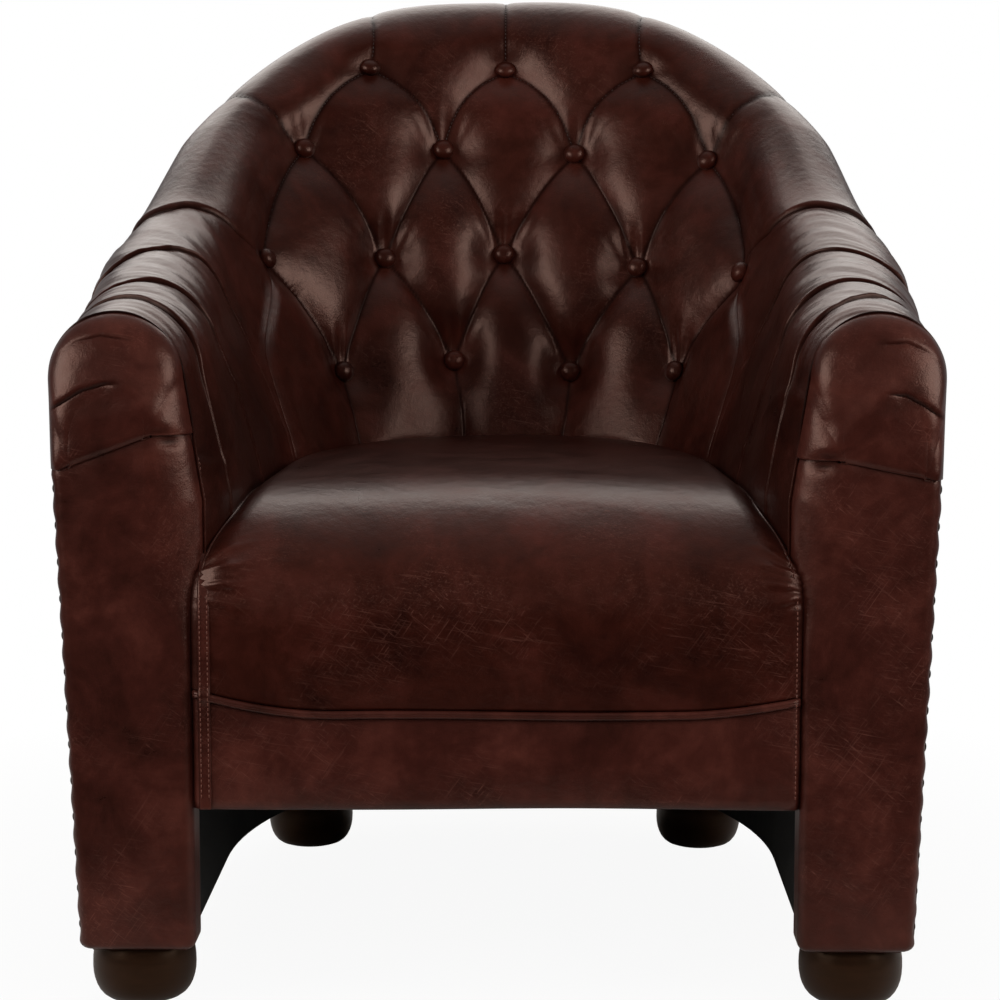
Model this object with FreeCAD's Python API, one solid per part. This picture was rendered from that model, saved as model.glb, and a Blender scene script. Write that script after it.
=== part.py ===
import FreeCAD
import Part
import math
import os

from FreeCAD import Vector

# Tub chair in buttoned leather, in millimetres. +Z is up, the sitter looks along -Y.
# The origin is on the floor, under the middle of the chair.

# Plan of the tub: the middle line of the wall, a U with straight sides and a bowed back
WALL_HALF_WIDTH = 298.0
WALL_BACK_Y = 250.0
SIDE_CURVE_Y = -100.0
SIDE_BOW_RADIUS = 520.0
SIDE_BOW_TURN = 25.0
BACK_BOW_TURN = 20.0
FRONT_Y = -376.0

# Layers of the wall, measured outwards from the middle line at the base
FRAME_INNER = -44.0
RAIL_THICKNESS = 22.0
FRAME_OUTER = 35.7
PANEL_THICKNESS = 4.0
LEATHER_THICKNESS = 2.0
LINING_THICKNESS = 1.5
WEBBING_THICKNESS = 2.0
FIT_GAP = 0.3
WEBBING_GAP = 0.6
ARM_LEAN = 0.04
BACK_LEAN = 0.11
LEAN_BACK_END = 120.0
LEAN_ARM_START = 430.0

# Heights above the floor
FOOT_HEIGHT = 57.0
HOOP_THICKNESS = 22.0
SEAT_RAIL_BOTTOM = 172.0
SEAT_RAIL_HEIGHT = 63.0
SEAT_EDGE_HEIGHT = 420.0
SEAT_CROWN = 13.0
RIM_STATIONS = (0.0, 140.0, 280.0, 420.0, 560.0, 788.0)
RIM_HEIGHTS = (868.0, 847.0, 748.0, 658.0, 612.0, 568.0)

# Inside pads: how far the padding reaches in from the middle line at the seat, and its rake
REACH_STATIONS = (0.0, 315.0, 480.0, 640.0, 730.0, 788.0)
REACH_VALUES = (112.0, 112.0, 100.0, 86.0, 78.0, 56.0)
RAKE_STATIONS = (0.0, 150.0, 315.0, 560.0, 788.0)
RAKE_VALUES = (0.30, 0.30, 0.40, 0.30, 0.15)
ARM_SWELL = 9.0

# Roll along the top of the back and arms, measured down from its crest
ROLL_DROP = 50.0
ROLL_LIP = 119.0
ROLL_OVERHANG = 5.0
LIP_BULGE = 1.0
TOP_RAIL_COVER = 50.0
TOP_RAIL_HEIGHT = 45.0

# Tufting of the inside back
TUFT_PITCH = 140.0
TUFT_PITCH_OUTER = 182.0
BACK_PAD_END = 350.0
ROW_HEIGHTS = (787.0, 712.0, 605.0, 495.0)
ROW_COLUMNS = ((-1, 0, 1), (-1.5, -0.5, 0.5, 1.5), (-2, -1, 0, 1, 2), (-1.5, -0.5, 0.5, 1.5))
TUFT_VALLEY = 14.0
TUFT_CROWN = 24.0
TUFT_FULL_HEIGHT = 190.0
TUFT_NECK = 12.0
SEAM_DROP = 6.0
SEAM_COLUMNS = 1.2
SEAT_PLEAT_SHARE = 0.7
SEAT_PLEAT_FLATNESS = 0.8
ROLL_TUFT_SHARE = 0.3
ROLL_TUFT_GAIN = 0.5
LEAST_TUFT = 0.6
BUTTON_DIAMETER = 21.0
BUTTON_DOME = 6.0
BUTTON_STAND = 12.0
BUTTON_SHANK_DIAMETER = 3.0
BUTTON_SHANK_GAP = 0.7

# Pleats of the inside arms, measured back from the front end of the pad
ARM_PLEATS = (46.0, 128.0, 284.0)
PLEAT_DEPTH = 6.0
PLEAT_HALF_WIDTH = 14.0

# Arm front: board, padded facing and domed cap above the facing's seam
FACING_BOARD_THICKNESS = 10.0
FACING_FOAM = 8.0
FACING_INNER = -52.0
FACING_ROUND = 9.0
FACING_ROUND_SHARE = 0.9
CAP_SEAM_RISE = 26.0
CAP_BULGE = 4.0
# Sections of the cap: share of its depth, set-in of its sides, lift of its seam
CAP_SECTIONS = ((0.0, 0.0, 0.0), (0.4, 1.5, 1.0), (0.8, 8.0, 4.0), (1.0, 22.0, 12.0))

# Frame posts and fixings
POST_WIDTH = 40.0
REAR_POST_STATION = 150.0
SIDE_POST_STATION = 330.0
CORNER_BLOCK_LEG = 60.0
CORNER_BLOCK_HEIGHT = 40.0
DOWEL_DIAMETER = 10.0
DOWEL_DEPTH = 16.0
DOWEL_SPREAD = 17.0
SCREW_DIAMETER = 4.5
SCREW_LENGTH = 70.0
SCREW_HEAD_DIAMETER = 9.0
SCREW_HEAD_HEIGHT = 3.0
SCREW_RECESS = 10.0
HOLE_GAP = 0.2

# Seat suspension and seat
SPRING_WIRE = 4.0
SPRING_HALF_WIDTH = 24.0
SPRING_PITCH = 25.0
SPRING_SPACING = 80.0
SPRING_COUNT = 5
CLIP_WIDTH = 20.0
CLIP_DEPTH = 9.0
CLIP_SHEET = 1.2
STRAP_WIDTH = 44.0
STRAP_SPACING = 95.0
STRAP_LAP = 30.0
FELT_THICKNESS = 2.6
FELT_MARGIN = 24.0
SEAT_CLEARANCE = 1.5
SEAT_FRONT_BULGE = 4.0
WELT_DIAMETER = 7.0
WELT_HEIGHT = 250.0
BAND_FOAM = 18.0
BAND_FLANGE = 32.0
BAND_SIDE_GAP = 5.0
SEAT_OUTLINE_POINTS = 18
# Levels of the seat: share of its height, set-in of its sides as a share of the room
# between the padding and the centre of the rounded corner, set-in of its front in bulges
SEAT_LEVELS = (
    (0.0, 0.0, 0.0), (0.2, 0.0, -0.8), (0.42, 0.0, -1.0), (0.6, 0.0, 0.2), (0.72, 0.011, 2.2),
    (0.82, 0.043, 6.0), (0.9, 0.118, 12.0), (0.95, 0.236, 19.0), (0.98, 0.408, 28.0), (1.0, 0.71, 44.0),
)

# Feet and their fixings
FOOT_DIAMETER = 86.0
FOOT_BASE_DIAMETER = 62.0
FOOT_TOP_DIAMETER = 76.0
FOOT_WIDEST_HEIGHT = 34.0
FRONT_FOOT_SETBACK = 50.0
REAR_FOOT_STATION = 218.0
FOOT_OFFSET = -3.0
BOLT_DIAMETER = 8.0
BOLT_IN_FOOT = 30.0
INSERT_DIAMETER = 12.0
INSERT_LENGTH = 18.0

# Dome nails along the front edge of each outside cover
NAIL_PITCH = 30.0
NAIL_HEAD_DIAMETER = 11.0
NAIL_HEAD_HEIGHT = 3.2
NAIL_SHANK_DIAMETER = 2.0
NAIL_SHANK_LENGTH = 12.0
NAIL_MARGIN = 14.0

# Spacing of the cross sections along the wall
STATION_STEP = 20.0

# Places worked out from the sizes above
BASE_Z = FOOT_HEIGHT
HOOP_TOP = BASE_Z + HOOP_THICKNESS
SEAT_RAIL_TOP = SEAT_RAIL_BOTTOM + SEAT_RAIL_HEIGHT
WIRE_TOP = SEAT_RAIL_TOP + SPRING_WIRE
PAD_BOTTOM = WIRE_TOP + CLIP_SHEET + 2 * FIT_GAP + SPRING_WIRE / 4
POST_INNER = FRAME_INNER + RAIL_THICKNESS
TOP_RAIL_INNER = POST_INNER
PANEL_OUTER = FRAME_OUTER + PANEL_THICKNESS
COVER_INNER = PANEL_OUTER + FIT_GAP
WALL_OUTER = COVER_INNER + LEATHER_THICKNESS
BOARD_FRONT_Y = FRONT_Y + LEATHER_THICKNESS + FACING_FOAM
FRAME_FRONT_Y = BOARD_FRONT_Y + FACING_BOARD_THICKNESS
FRONT_RAIL_BACK_Y = FRAME_FRONT_Y + RAIL_THICKNESS
CAP_FRONT_Y = FRONT_Y - CAP_BULGE
SKIN = LEATHER_THICKNESS + FIT_GAP

# Arc angles and radii of the plan curve, so that its three arcs run into each other
SIDE_ANGLE = math.radians(SIDE_BOW_TURN)
BACK_ANGLE = math.radians(90.0 - BACK_BOW_TURN)
CORNER_X = WALL_HALF_WIDTH - SIDE_BOW_RADIUS * (1 - math.cos(SIDE_ANGLE))
CORNER_Y = SIDE_CURVE_Y + SIDE_BOW_RADIUS * math.sin(SIDE_ANGLE)
CORNER_DX = math.cos(SIDE_ANGLE) - math.cos(BACK_ANGLE)
CORNER_DY = math.sin(BACK_ANGLE) - math.sin(SIDE_ANGLE)
BACK_DX = math.cos(BACK_ANGLE)
BACK_DY = 1 - math.sin(BACK_ANGLE)
CORNER_RISE = (WALL_BACK_Y - CORNER_Y) * BACK_DX - CORNER_X * BACK_DY
CORNER_RADIUS = CORNER_RISE / (CORNER_DY * BACK_DX - CORNER_DX * BACK_DY)
BACK_RADIUS = (CORNER_X - CORNER_RADIUS * CORNER_DX) / BACK_DX
BACK_LENGTH = BACK_RADIUS * math.radians(BACK_BOW_TURN)
CORNER_LENGTH = CORNER_RADIUS * (BACK_ANGLE - SIDE_ANGLE)
SIDE_LENGTH = SIDE_BOW_RADIUS * SIDE_ANGLE
CURVE_LENGTH = BACK_LENGTH + CORNER_LENGTH + SIDE_LENGTH
SEAT_ROOM = CORNER_RADIUS - REACH_VALUES[0] - SEAT_CLEARANCE


def station_at_y(y):
    """Distance along the wall, from the middle of the back, of a place on a straight side."""
    return CURVE_LENGTH + SIDE_CURVE_Y - y


PAD_FRONT = station_at_y(BOARD_FRONT_Y)
FRAME_FRONT = station_at_y(FRAME_FRONT_Y)
ARM_POST_STATION = FRAME_FRONT - POST_WIDTH / 2
OUTER_SEAM_STATION = SIDE_POST_STATION


def wall_place(station):
    """Point on the wall's middle line and the outward direction there; left is negative."""
    run = abs(station)
    side = -1.0 if station < 0 else 1.0
    if run <= BACK_LENGTH:
        angle = math.pi / 2 - run / BACK_RADIUS
        x = BACK_RADIUS * math.cos(angle)
        y = WALL_BACK_Y - BACK_RADIUS * (1 - math.sin(angle))
    elif run <= BACK_LENGTH + CORNER_LENGTH:
        angle = BACK_ANGLE - (run - BACK_LENGTH) / CORNER_RADIUS
        x = CORNER_X + CORNER_RADIUS * (math.cos(angle) - math.cos(SIDE_ANGLE))
        y = CORNER_Y + CORNER_RADIUS * (math.sin(angle) - math.sin(SIDE_ANGLE))
    elif run <= CURVE_LENGTH:
        angle = (CURVE_LENGTH - run) / SIDE_BOW_RADIUS
        x = WALL_HALF_WIDTH - SIDE_BOW_RADIUS * (1 - math.cos(angle))
        y = SIDE_CURVE_Y + SIDE_BOW_RADIUS * math.sin(angle)
    else:
        angle = 0.0
        x = WALL_HALF_WIDTH
        y = SIDE_CURVE_Y - (run - CURVE_LENGTH)
    return Vector(side * x, y, 0), Vector(side * math.cos(angle), math.sin(angle), 0)


def place(station, out, z):
    """Point at a distance out from the wall's middle line."""
    point, outward = wall_place(station)
    return point + outward * out + Vector(0, 0, z)


def smooth(value, low, high):
    """0 below low, 1 above high, eased between."""
    share = min(1.0, max(0.0, (value - low) / (high - low)))
    return share * share * (3 - 2 * share)


def along(station, stations, values):
    """Smooth curve through values given at distances along the wall."""
    run = min(abs(station), stations[-1])
    slopes = [(values[i + 1] - values[i]) / (stations[i + 1] - stations[i]) for i in range(len(values) - 1)]
    tangents = [0.0] + [(slopes[i] + slopes[i + 1]) / 2 for i in range(len(slopes) - 1)] + [slopes[-1]]
    i = max(k for k in range(len(slopes)) if run >= stations[k])
    width = stations[i + 1] - stations[i]
    t = (run - stations[i]) / width
    start = (1 + 2 * t) * (1 - t) ** 2 * values[i] + t * (1 - t) ** 2 * width * tangents[i]
    end = t * t * (3 - 2 * t) * values[i + 1] + t * t * (t - 1) * width * tangents[i + 1]
    return start + end


def rim(station):
    return along(station, RIM_STATIONS, RIM_HEIGHTS)


def lean(station, z):
    """How far the wall has leaned out at a height."""
    arm_share = smooth(abs(station), LEAN_BACK_END, LEAN_ARM_START)
    return (BACK_LEAN + (ARM_LEAN - BACK_LEAN) * arm_share) * (z - BASE_Z)


def frame_place(station, out, z):
    return place(station, out + lean(station, z), z)


def pad_face(station, z):
    """Inside face of the padding, before tufts and pleats."""
    rake = along(station, RAKE_STATIONS, RAKE_VALUES)
    return rake * max(0.0, z - SEAT_EDGE_HEIGHT) - along(station, REACH_STATIONS, REACH_VALUES)


def spaced(start, end, step=STATION_STEP):
    count = max(1, math.ceil(abs(end - start) / step))
    return [start + (end - start) * i / count for i in range(count + 1)]


def polygon(points):
    return Part.makePolygon(list(points) + [points[0]])


def sweep(stations, corners):
    """Solid through a polygon section, leaning with the wall, at each station."""
    wires = [polygon([frame_place(s, out, z) for out, z in corners(s)]) for s in stations]
    return Part.makeLoft(wires, True, True)


def bar(stations, inner, outer, bottom, top):
    """Leaning rectangular section; bottom and top are heights or functions of the station."""
    def corners(s):
        low = bottom(s) if callable(bottom) else bottom
        high = top(s) if callable(top) else top
        return [(inner, low), (outer, low), (outer, high), (inner, high)]
    return sweep(stations, corners)


def prism(points, depth):
    """Flat polygon pushed along a direction."""
    return Part.Face(polygon(points)).extrude(depth)


def rod(start, end, diameter):
    return Part.makeCylinder(diameter / 2, (end - start).Length, start, end - start)


def mirrored(shape):
    return shape.mirror(Vector(0, 0, 0), Vector(1, 0, 0))


def group(shapes):
    return Part.makeCompound(shapes)


nodes = {}


def pair(name, right_shape):
    nodes[name + "_right"] = right_shape
    nodes[name + "_left"] = mirrored(right_shape)


# Timber frame: base hoop, posts, seat rails, top rails and arm front boards
def top_rail_top(s):
    return rim(s) - TOP_RAIL_COVER


def top_rail_bottom(s):
    return rim(s) - TOP_RAIL_COVER - TOP_RAIL_HEIGHT


def post(station):
    """Post that leans with the wall, from the base hoop to the top rail."""
    stations = [station - POST_WIDTH / 2, station, station + POST_WIDTH / 2]
    return bar(stations, POST_INNER, FRAME_OUTER, HOOP_TOP, top_rail_bottom)


def seat_rail(start, end):
    return bar(spaced(start, end), FRAME_INNER, POST_INNER, SEAT_RAIL_BOTTOM, SEAT_RAIL_TOP)


def top_rail(start, end):
    return bar(spaced(start, end), TOP_RAIL_INNER, FRAME_OUTER, top_rail_bottom, top_rail_top)


POSTS = {
    "arm_post": ARM_POST_STATION,
    "side_post": SIDE_POST_STATION,
    "rear_post": REAR_POST_STATION,
}
base_hoop = bar(spaced(-FRAME_FRONT, FRAME_FRONT), FRAME_INNER, FRAME_OUTER, BASE_Z, HOOP_TOP)
right_posts = {name: post(station) for name, station in POSTS.items()}
back_post = post(0.0)
crest_rail = top_rail(-REAR_POST_STATION, REAR_POST_STATION)
arm_rail = top_rail(REAR_POST_STATION, FRAME_FRONT)
seat_back_rail = seat_rail(-REAR_POST_STATION, REAR_POST_STATION)
side_rail = seat_rail(REAR_POST_STATION, station_at_y(FRONT_RAIL_BACK_Y))

front_rail_ends = [
    frame_place(FRAME_FRONT, POST_INNER, z) for z in (SEAT_RAIL_BOTTOM, SEAT_RAIL_TOP)
]
seat_front_rail = prism(
    [
        front_rail_ends[0],
        front_rail_ends[1],
        Vector(-front_rail_ends[1].x, FRAME_FRONT_Y, SEAT_RAIL_TOP),
        Vector(-front_rail_ends[0].x, FRAME_FRONT_Y, SEAT_RAIL_BOTTOM),
    ],
    Vector(0, RAIL_THICKNESS, 0),
)

block_bottom = (SEAT_RAIL_BOTTOM + SEAT_RAIL_TOP - CORNER_BLOCK_HEIGHT) / 2
block_corner = frame_place(station_at_y(FRONT_RAIL_BACK_Y), FRAME_INNER, block_bottom)
corner_block = prism(
    [
        block_corner,
        block_corner - Vector(CORNER_BLOCK_LEG, 0, 0),
        block_corner + Vector(0, CORNER_BLOCK_LEG, 0),
    ],
    Vector(0, 0, CORNER_BLOCK_HEIGHT),
)
nodes["corner_blocks"] = group([corner_block, mirrored(corner_block)])


def board_edge(out, z):
    """Point on the front of the arm front board."""
    return frame_place(PAD_FRONT, out, z)


board_step = PAD_BOTTOM - FIT_GAP
board_top = rim(PAD_FRONT) - TOP_RAIL_COVER
lip_bottom = rim(PAD_FRONT) - ROLL_LIP - FIT_GAP
facing_board = prism(
    [
        board_edge(FRAME_INNER, BASE_Z),
        board_edge(FRAME_OUTER, BASE_Z),
        board_edge(FRAME_OUTER, board_top),
        board_edge(TOP_RAIL_INNER, board_top),
        board_edge(TOP_RAIL_INNER, board_step),
        board_edge(FRAME_INNER, board_step),
    ],
    Vector(0, FACING_BOARD_THICKNESS, 0),
)

# Dowels between posts and hoop and between front rail and arm posts, with their holes
dowels = []
for station in [0.0] + [sign * s for s in POSTS.values() for sign in (-1, 1)]:
    shift = math.copysign(POST_WIDTH / 5, station) if abs(station) == ARM_POST_STATION else 0.0
    for spread in (-DOWEL_SPREAD, DOWEL_SPREAD):
        foot = frame_place(station + shift, (POST_INNER + FRAME_OUTER) / 2 + spread, HOOP_TOP)
        dowels.append(rod(foot - Vector(0, 0, DOWEL_DEPTH), foot + Vector(0, 0, DOWEL_DEPTH), DOWEL_DIAMETER))
for side in (-1, 1):
    for height in (SEAT_RAIL_BOTTOM + SEAT_RAIL_HEIGHT / 4, SEAT_RAIL_TOP - SEAT_RAIL_HEIGHT / 4):
        end = frame_place(FRAME_FRONT, POST_INNER, height)
        middle = Vector(side * end.x, FRAME_FRONT_Y + RAIL_THICKNESS / 2, height)
        reach = Vector(DOWEL_DEPTH, 0, 0)
        dowels.append(rod(middle - reach, middle + reach, DOWEL_DIAMETER))
nodes["frame_dowels"] = group(dowels)

# Screws down through the top rails into the posts, and through the seat rails into the posts
screws = []
screw_holes = []


def add_screw(head, direction):
    """Screw with its head sunk below the face that it goes in by."""
    tip = head + direction * SCREW_LENGTH
    neck = head + direction * SCREW_HEAD_HEIGHT
    screws.append(rod(head, neck, SCREW_HEAD_DIAMETER).fuse(rod(neck, tip, SCREW_DIAMETER)).removeSplitter())
    mouth = head - direction * (SCREW_RECESS + SCREW_HEAD_HEIGHT)
    screw_holes.append(rod(mouth, neck, SCREW_HEAD_DIAMETER + 2 * HOLE_GAP))
    screw_holes.append(rod(neck, tip + direction * HOLE_GAP, SCREW_DIAMETER + 2 * HOLE_GAP))


post_centre = (POST_INNER + FRAME_OUTER) / 2
rear_pair = [REAR_POST_STATION - POST_WIDTH / 4, REAR_POST_STATION + POST_WIDTH / 4]
for sign in (-1, 1):
    for station in rear_pair + [SIDE_POST_STATION, ARM_POST_STATION]:
        head = frame_place(sign * station, post_centre, top_rail_top(station) - SCREW_RECESS)
        add_screw(head, Vector(0, 0, -1))
    for station in rear_pair + [SIDE_POST_STATION]:
        face = frame_place(sign * station, FRAME_INNER, SEAT_RAIL_BOTTOM + SEAT_RAIL_HEIGHT / 2)
        outward = wall_place(sign * station)[1]
        add_screw(face + outward * SCREW_HEAD_HEIGHT, outward)
add_screw(frame_place(0.0, post_centre, top_rail_top(0.0) - SCREW_RECESS), Vector(0, 0, -1))
nodes["frame_screws"] = group(screws)

frame_holes = group(screw_holes + dowels)


def drilled(shape):
    return shape.cut(frame_holes)


# Bun feet, each on a bolt that screws into a threaded insert in the base hoop
foot_places = {
    "front": frame_place(station_at_y(FRONT_Y + FRONT_FOOT_SETBACK), FOOT_OFFSET, BASE_Z),
    "rear": frame_place(REAR_FOOT_STATION, FOOT_OFFSET, BASE_Z),
}


def bun_foot(centre):
    base = Vector(FOOT_BASE_DIAMETER / 2, 0, 0)
    widest = Vector(FOOT_DIAMETER / 2, 0, FOOT_WIDEST_HEIGHT)
    top = Vector(FOOT_TOP_DIAMETER / 2, 0, FOOT_HEIGHT)
    outline = Part.Wire([
        Part.makeLine(Vector(0, 0, 0), base),
        Part.Arc(base, widest, top).toShape(),
        Part.makeLine(top, Vector(0, 0, FOOT_HEIGHT)),
        Part.makeLine(Vector(0, 0, FOOT_HEIGHT), Vector(0, 0, 0)),
    ])
    body = Part.Face(outline).revolve(Vector(0, 0, 0), Vector(0, 0, 1), 360)
    hole_low = Vector(0, 0, FOOT_HEIGHT - BOLT_IN_FOOT)
    hole = rod(hole_low, Vector(0, 0, FOOT_HEIGHT + 1), BOLT_DIAMETER + 2 * HOLE_GAP)
    foot = body.cut(hole)
    foot.translate(Vector(centre.x, centre.y, 0))
    return foot


bolts = []
inserts = []
insert_holes = []
for row, right_place in foot_places.items():
    pair("foot_" + row, bun_foot(right_place))
    for side in (-1, 1):
        centre = Vector(side * right_place.x, right_place.y, BASE_Z)
        up = Vector(0, 0, INSERT_LENGTH)
        bolts.append(rod(centre - Vector(0, 0, BOLT_IN_FOOT - FIT_GAP), centre + up, BOLT_DIAMETER))
        barrel = rod(centre, centre + up, INSERT_DIAMETER)
        insert_holes.append(rod(centre - up, centre + up, INSERT_DIAMETER))
        inserts.append(barrel.cut(rod(centre - up, centre + 2 * up, BOLT_DIAMETER + 2 * HOLE_GAP)))
nodes["foot_bolts"] = group(bolts)
nodes["foot_inserts"] = group(inserts)

nodes["base_hoop"] = drilled(base_hoop).cut(group(insert_holes))
for name, shape in right_posts.items():
    pair(name, drilled(shape))
nodes["back_post"] = drilled(back_post)
nodes["crest_rail"] = drilled(crest_rail)
pair("arm_rail", drilled(arm_rail))
nodes["seat_back_rail"] = drilled(seat_back_rail)
pair("seat_side_rail", drilled(side_rail))
nodes["seat_front_rail"] = drilled(seat_front_rail)

# Sinuous springs from the front rail to the back and side rails, each end under a clip
rail_middle = FRAME_INNER + RAIL_THICKNESS / 2
wire_line = FRAME_INNER + CLIP_DEPTH / 2
wire_z = SEAT_RAIL_TOP + SPRING_WIRE / 2


def rail_y_at(x):
    """Y of the spring line on the curved seat rail at a distance from the chair's middle plane."""
    low = 0.0
    high = CURVE_LENGTH
    for _ in range(40):
        middle = (low + high) / 2
        if frame_place(middle, wire_line, SEAT_RAIL_TOP).x < abs(x):
            low = middle
        else:
            high = middle
    return frame_place(low, wire_line, SEAT_RAIL_TOP).y


def sinuous_spring(x, start_y, end_y):
    """Cross runs joined by half turns, all lying flat."""
    turns = max(2, round((end_y - start_y) / SPRING_PITCH))
    radius = (end_y - start_y) / turns / 2
    half = SPRING_HALF_WIDTH - radius
    edges = []
    side = 1
    for i in range(turns + 1):
        y = start_y + 2 * radius * i
        begin = Vector(x - side * half, y, wire_z)
        finish = Vector(x + side * half, y, wire_z)
        edges.append(Part.makeLine(begin, finish))
        if i < turns:
            bend = finish + Vector(side * radius, radius, 0)
            edges.append(Part.Arc(finish, bend, finish + Vector(0, 2 * radius, 0)).toShape())
        side = -side
    path = Part.Wire(edges)
    ring = Part.Wire(Part.makeCircle(SPRING_WIRE / 2, Vector(x - half, start_y, wire_z), Vector(1, 0, 0)))
    return path.makePipeShell([ring], True, False)


def spring_clip(x, y):
    """Bent strip over the wire: a roof on the wire and a leg down to the rail behind it."""
    corner = Vector(x - CLIP_WIDTH / 2, y - CLIP_DEPTH / 2, WIRE_TOP)
    roof = Part.makeBox(CLIP_WIDTH, CLIP_DEPTH, CLIP_SHEET, corner)
    leg_corner = Vector(corner.x, y + CLIP_DEPTH / 2 - CLIP_SHEET, SEAT_RAIL_TOP)
    leg = Part.makeBox(CLIP_WIDTH, CLIP_SHEET, SPRING_WIRE + CLIP_SHEET, leg_corner)
    return roof.fuse(leg).removeSplitter()


springs = []
clips = []
front_wire_y = FRAME_FRONT_Y + RAIL_THICKNESS / 2
for index in range(SPRING_COUNT):
    spring_x = (index - (SPRING_COUNT - 1) / 2) * SPRING_SPACING
    back_wire_y = rail_y_at(abs(spring_x))
    springs.append(sinuous_spring(spring_x, front_wire_y, back_wire_y))
    clips.append(spring_clip(spring_x, front_wire_y))
    clips.append(spring_clip(spring_x, back_wire_y))
nodes["seat_springs"] = group(springs)
nodes["spring_clips"] = group(clips)

# Webbing straps behind the back and arm padding, from the seat rails to the top rails
webbing_outer = POST_INNER - WEBBING_GAP
webbing_inner = webbing_outer - WEBBING_THICKNESS
strap_stations = []
for index in range(int((FRAME_FRONT - POST_WIDTH) / STRAP_SPACING)):
    distance = (index + 0.5) * STRAP_SPACING
    strap_stations += [distance, -distance]


def strap_top(s):
    return top_rail_bottom(s) + STRAP_LAP


straps = []
for station in strap_stations:
    across = [station - STRAP_WIDTH / 2, station, station + STRAP_WIDTH / 2]
    straps.append(bar(across, webbing_inner, webbing_outer, SEAT_RAIL_TOP, strap_top))
nodes["back_webbing"] = group(straps)


# Inside padding: the covered face and roll as a chain of arcs, then skin and foam solids
def arc_or_line(first, middle, last):
    if middle is None:
        return Part.makeLine(first, last)
    return Part.Arc(first, middle, last).toShape()


def chain_edges(points):
    """Edges through end points with a point on each arc between, or None for a line."""
    return [arc_or_line(points[i], points[i + 1], points[i + 2]) for i in range(0, len(points) - 2, 2)]


def edges_of(station, chain, backwards=False):
    points = [place(station, *p) if p else None for p in chain]
    return chain_edges(points[::-1] if backwards else points)


def tuft_share(station):
    """0 on a column of the first row, 1 on a column of the second, and straight between."""
    run = abs(station)
    inner_end = 1.5 * TUFT_PITCH
    if run > inner_end:
        column = 1.5 + (run - inner_end) / TUFT_PITCH_OUTER
    else:
        column = run / TUFT_PITCH
    return 2 * abs(column - round(column))


def column_station(column):
    """Distance along the wall of a column of buttons."""
    run = min(abs(column), 1.5) * TUFT_PITCH + max(0.0, abs(column) - 1.5) * TUFT_PITCH_OUTER
    return math.copysign(run, column)


def crown(height):
    return TUFT_CROWN * math.sin(math.pi / 2 * min(1.0, height / TUFT_FULL_HEIGHT))


def roll_chain(station, inset, drop):
    """Roll from the inside face over the crest to its lower edge outside."""
    top = rim(station)
    inside = pad_face(station, top - ROLL_DROP)
    outside = WALL_OUTER + lean(station, top - ROLL_DROP) + ROLL_OVERHANG
    lip = WALL_OUTER + lean(station, top - ROLL_LIP) + ROLL_OVERHANG - LIP_BULGE
    middle = (inside + outside) / 2
    half = (outside - inside) / 2 - inset - drop
    rise = ROLL_DROP - inset - drop
    diagonal = math.sqrt(0.5)
    level = top - ROLL_DROP
    return [
        (middle - half, level),
        (middle - half * diagonal, level + rise * diagonal),
        (middle, level + rise),
        (middle + half * diagonal, level + rise * diagonal),
        (middle + half, level),
        ((outside + lip) / 2 + LIP_BULGE - inset - drop, (level + top - ROLL_LIP) / 2),
        (lip - inset, top - ROLL_LIP),
    ]


def back_chain(station, inset):
    """Tufted inside back at a station: seat part, three diamonds high, then the roll."""
    share = tuft_share(station)
    on_seam = abs(station) < SEAM_COLUMNS * TUFT_PITCH
    drop = SEAM_DROP * max(0.0, 1 - 4 * share) if on_seam else 0.0
    row_1, row_2, row_3, row_4 = ROW_HEIGHTS
    neck = TUFT_NECK / 2
    roll_level = rim(station) - ROLL_DROP
    line_12 = min(row_1 + (row_2 + neck - row_1) * share, roll_level - neck)
    line_23 = min(row_3 + neck + (row_2 - row_3 - TUFT_NECK) * share, line_12 - neck)
    line_34 = min(row_3 - neck + (row_4 - row_3 + neck) * share, line_23 - neck)
    seat_line = SEAT_EDGE_HEIGHT + neck

    def on_face(z, depth):
        return (pad_face(station, z) + depth + inset, z)

    def bulge(low, high, low_depth, high_depth, factor):
        z = (low + high) / 2
        return on_face(z, (low_depth + high_depth) / 2 - max(LEAST_TUFT, factor * crown(high - low)))

    pleat = SEAT_PLEAT_SHARE * TUFT_VALLEY * share
    chain = [
        on_face(PAD_BOTTOM, pleat),
        None,
        on_face(seat_line, pleat),
        bulge(seat_line, line_34, pleat, TUFT_VALLEY, 1 - SEAT_PLEAT_FLATNESS * share),
        on_face(line_34, TUFT_VALLEY),
        bulge(line_34, line_23, TUFT_VALLEY, TUFT_VALLEY, 1.0),
        on_face(line_23, TUFT_VALLEY),
        bulge(line_23, line_12, TUFT_VALLEY, TUFT_VALLEY, 1.0),
        on_face(line_12, TUFT_VALLEY),
        bulge(line_12, roll_level, TUFT_VALLEY, drop, ROLL_TUFT_SHARE + ROLL_TUFT_GAIN * share),
    ]
    return chain + roll_chain(station, inset, drop)


def pleat_drop(station):
    """Depth of the arm pleats at a station: full on a pleat, none a half width away."""
    nearest = min(abs(PAD_FRONT - abs(station) - distance) for distance in ARM_PLEATS)
    return PLEAT_DEPTH * max(0.0, 1 - nearest / PLEAT_HALF_WIDTH)


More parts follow.
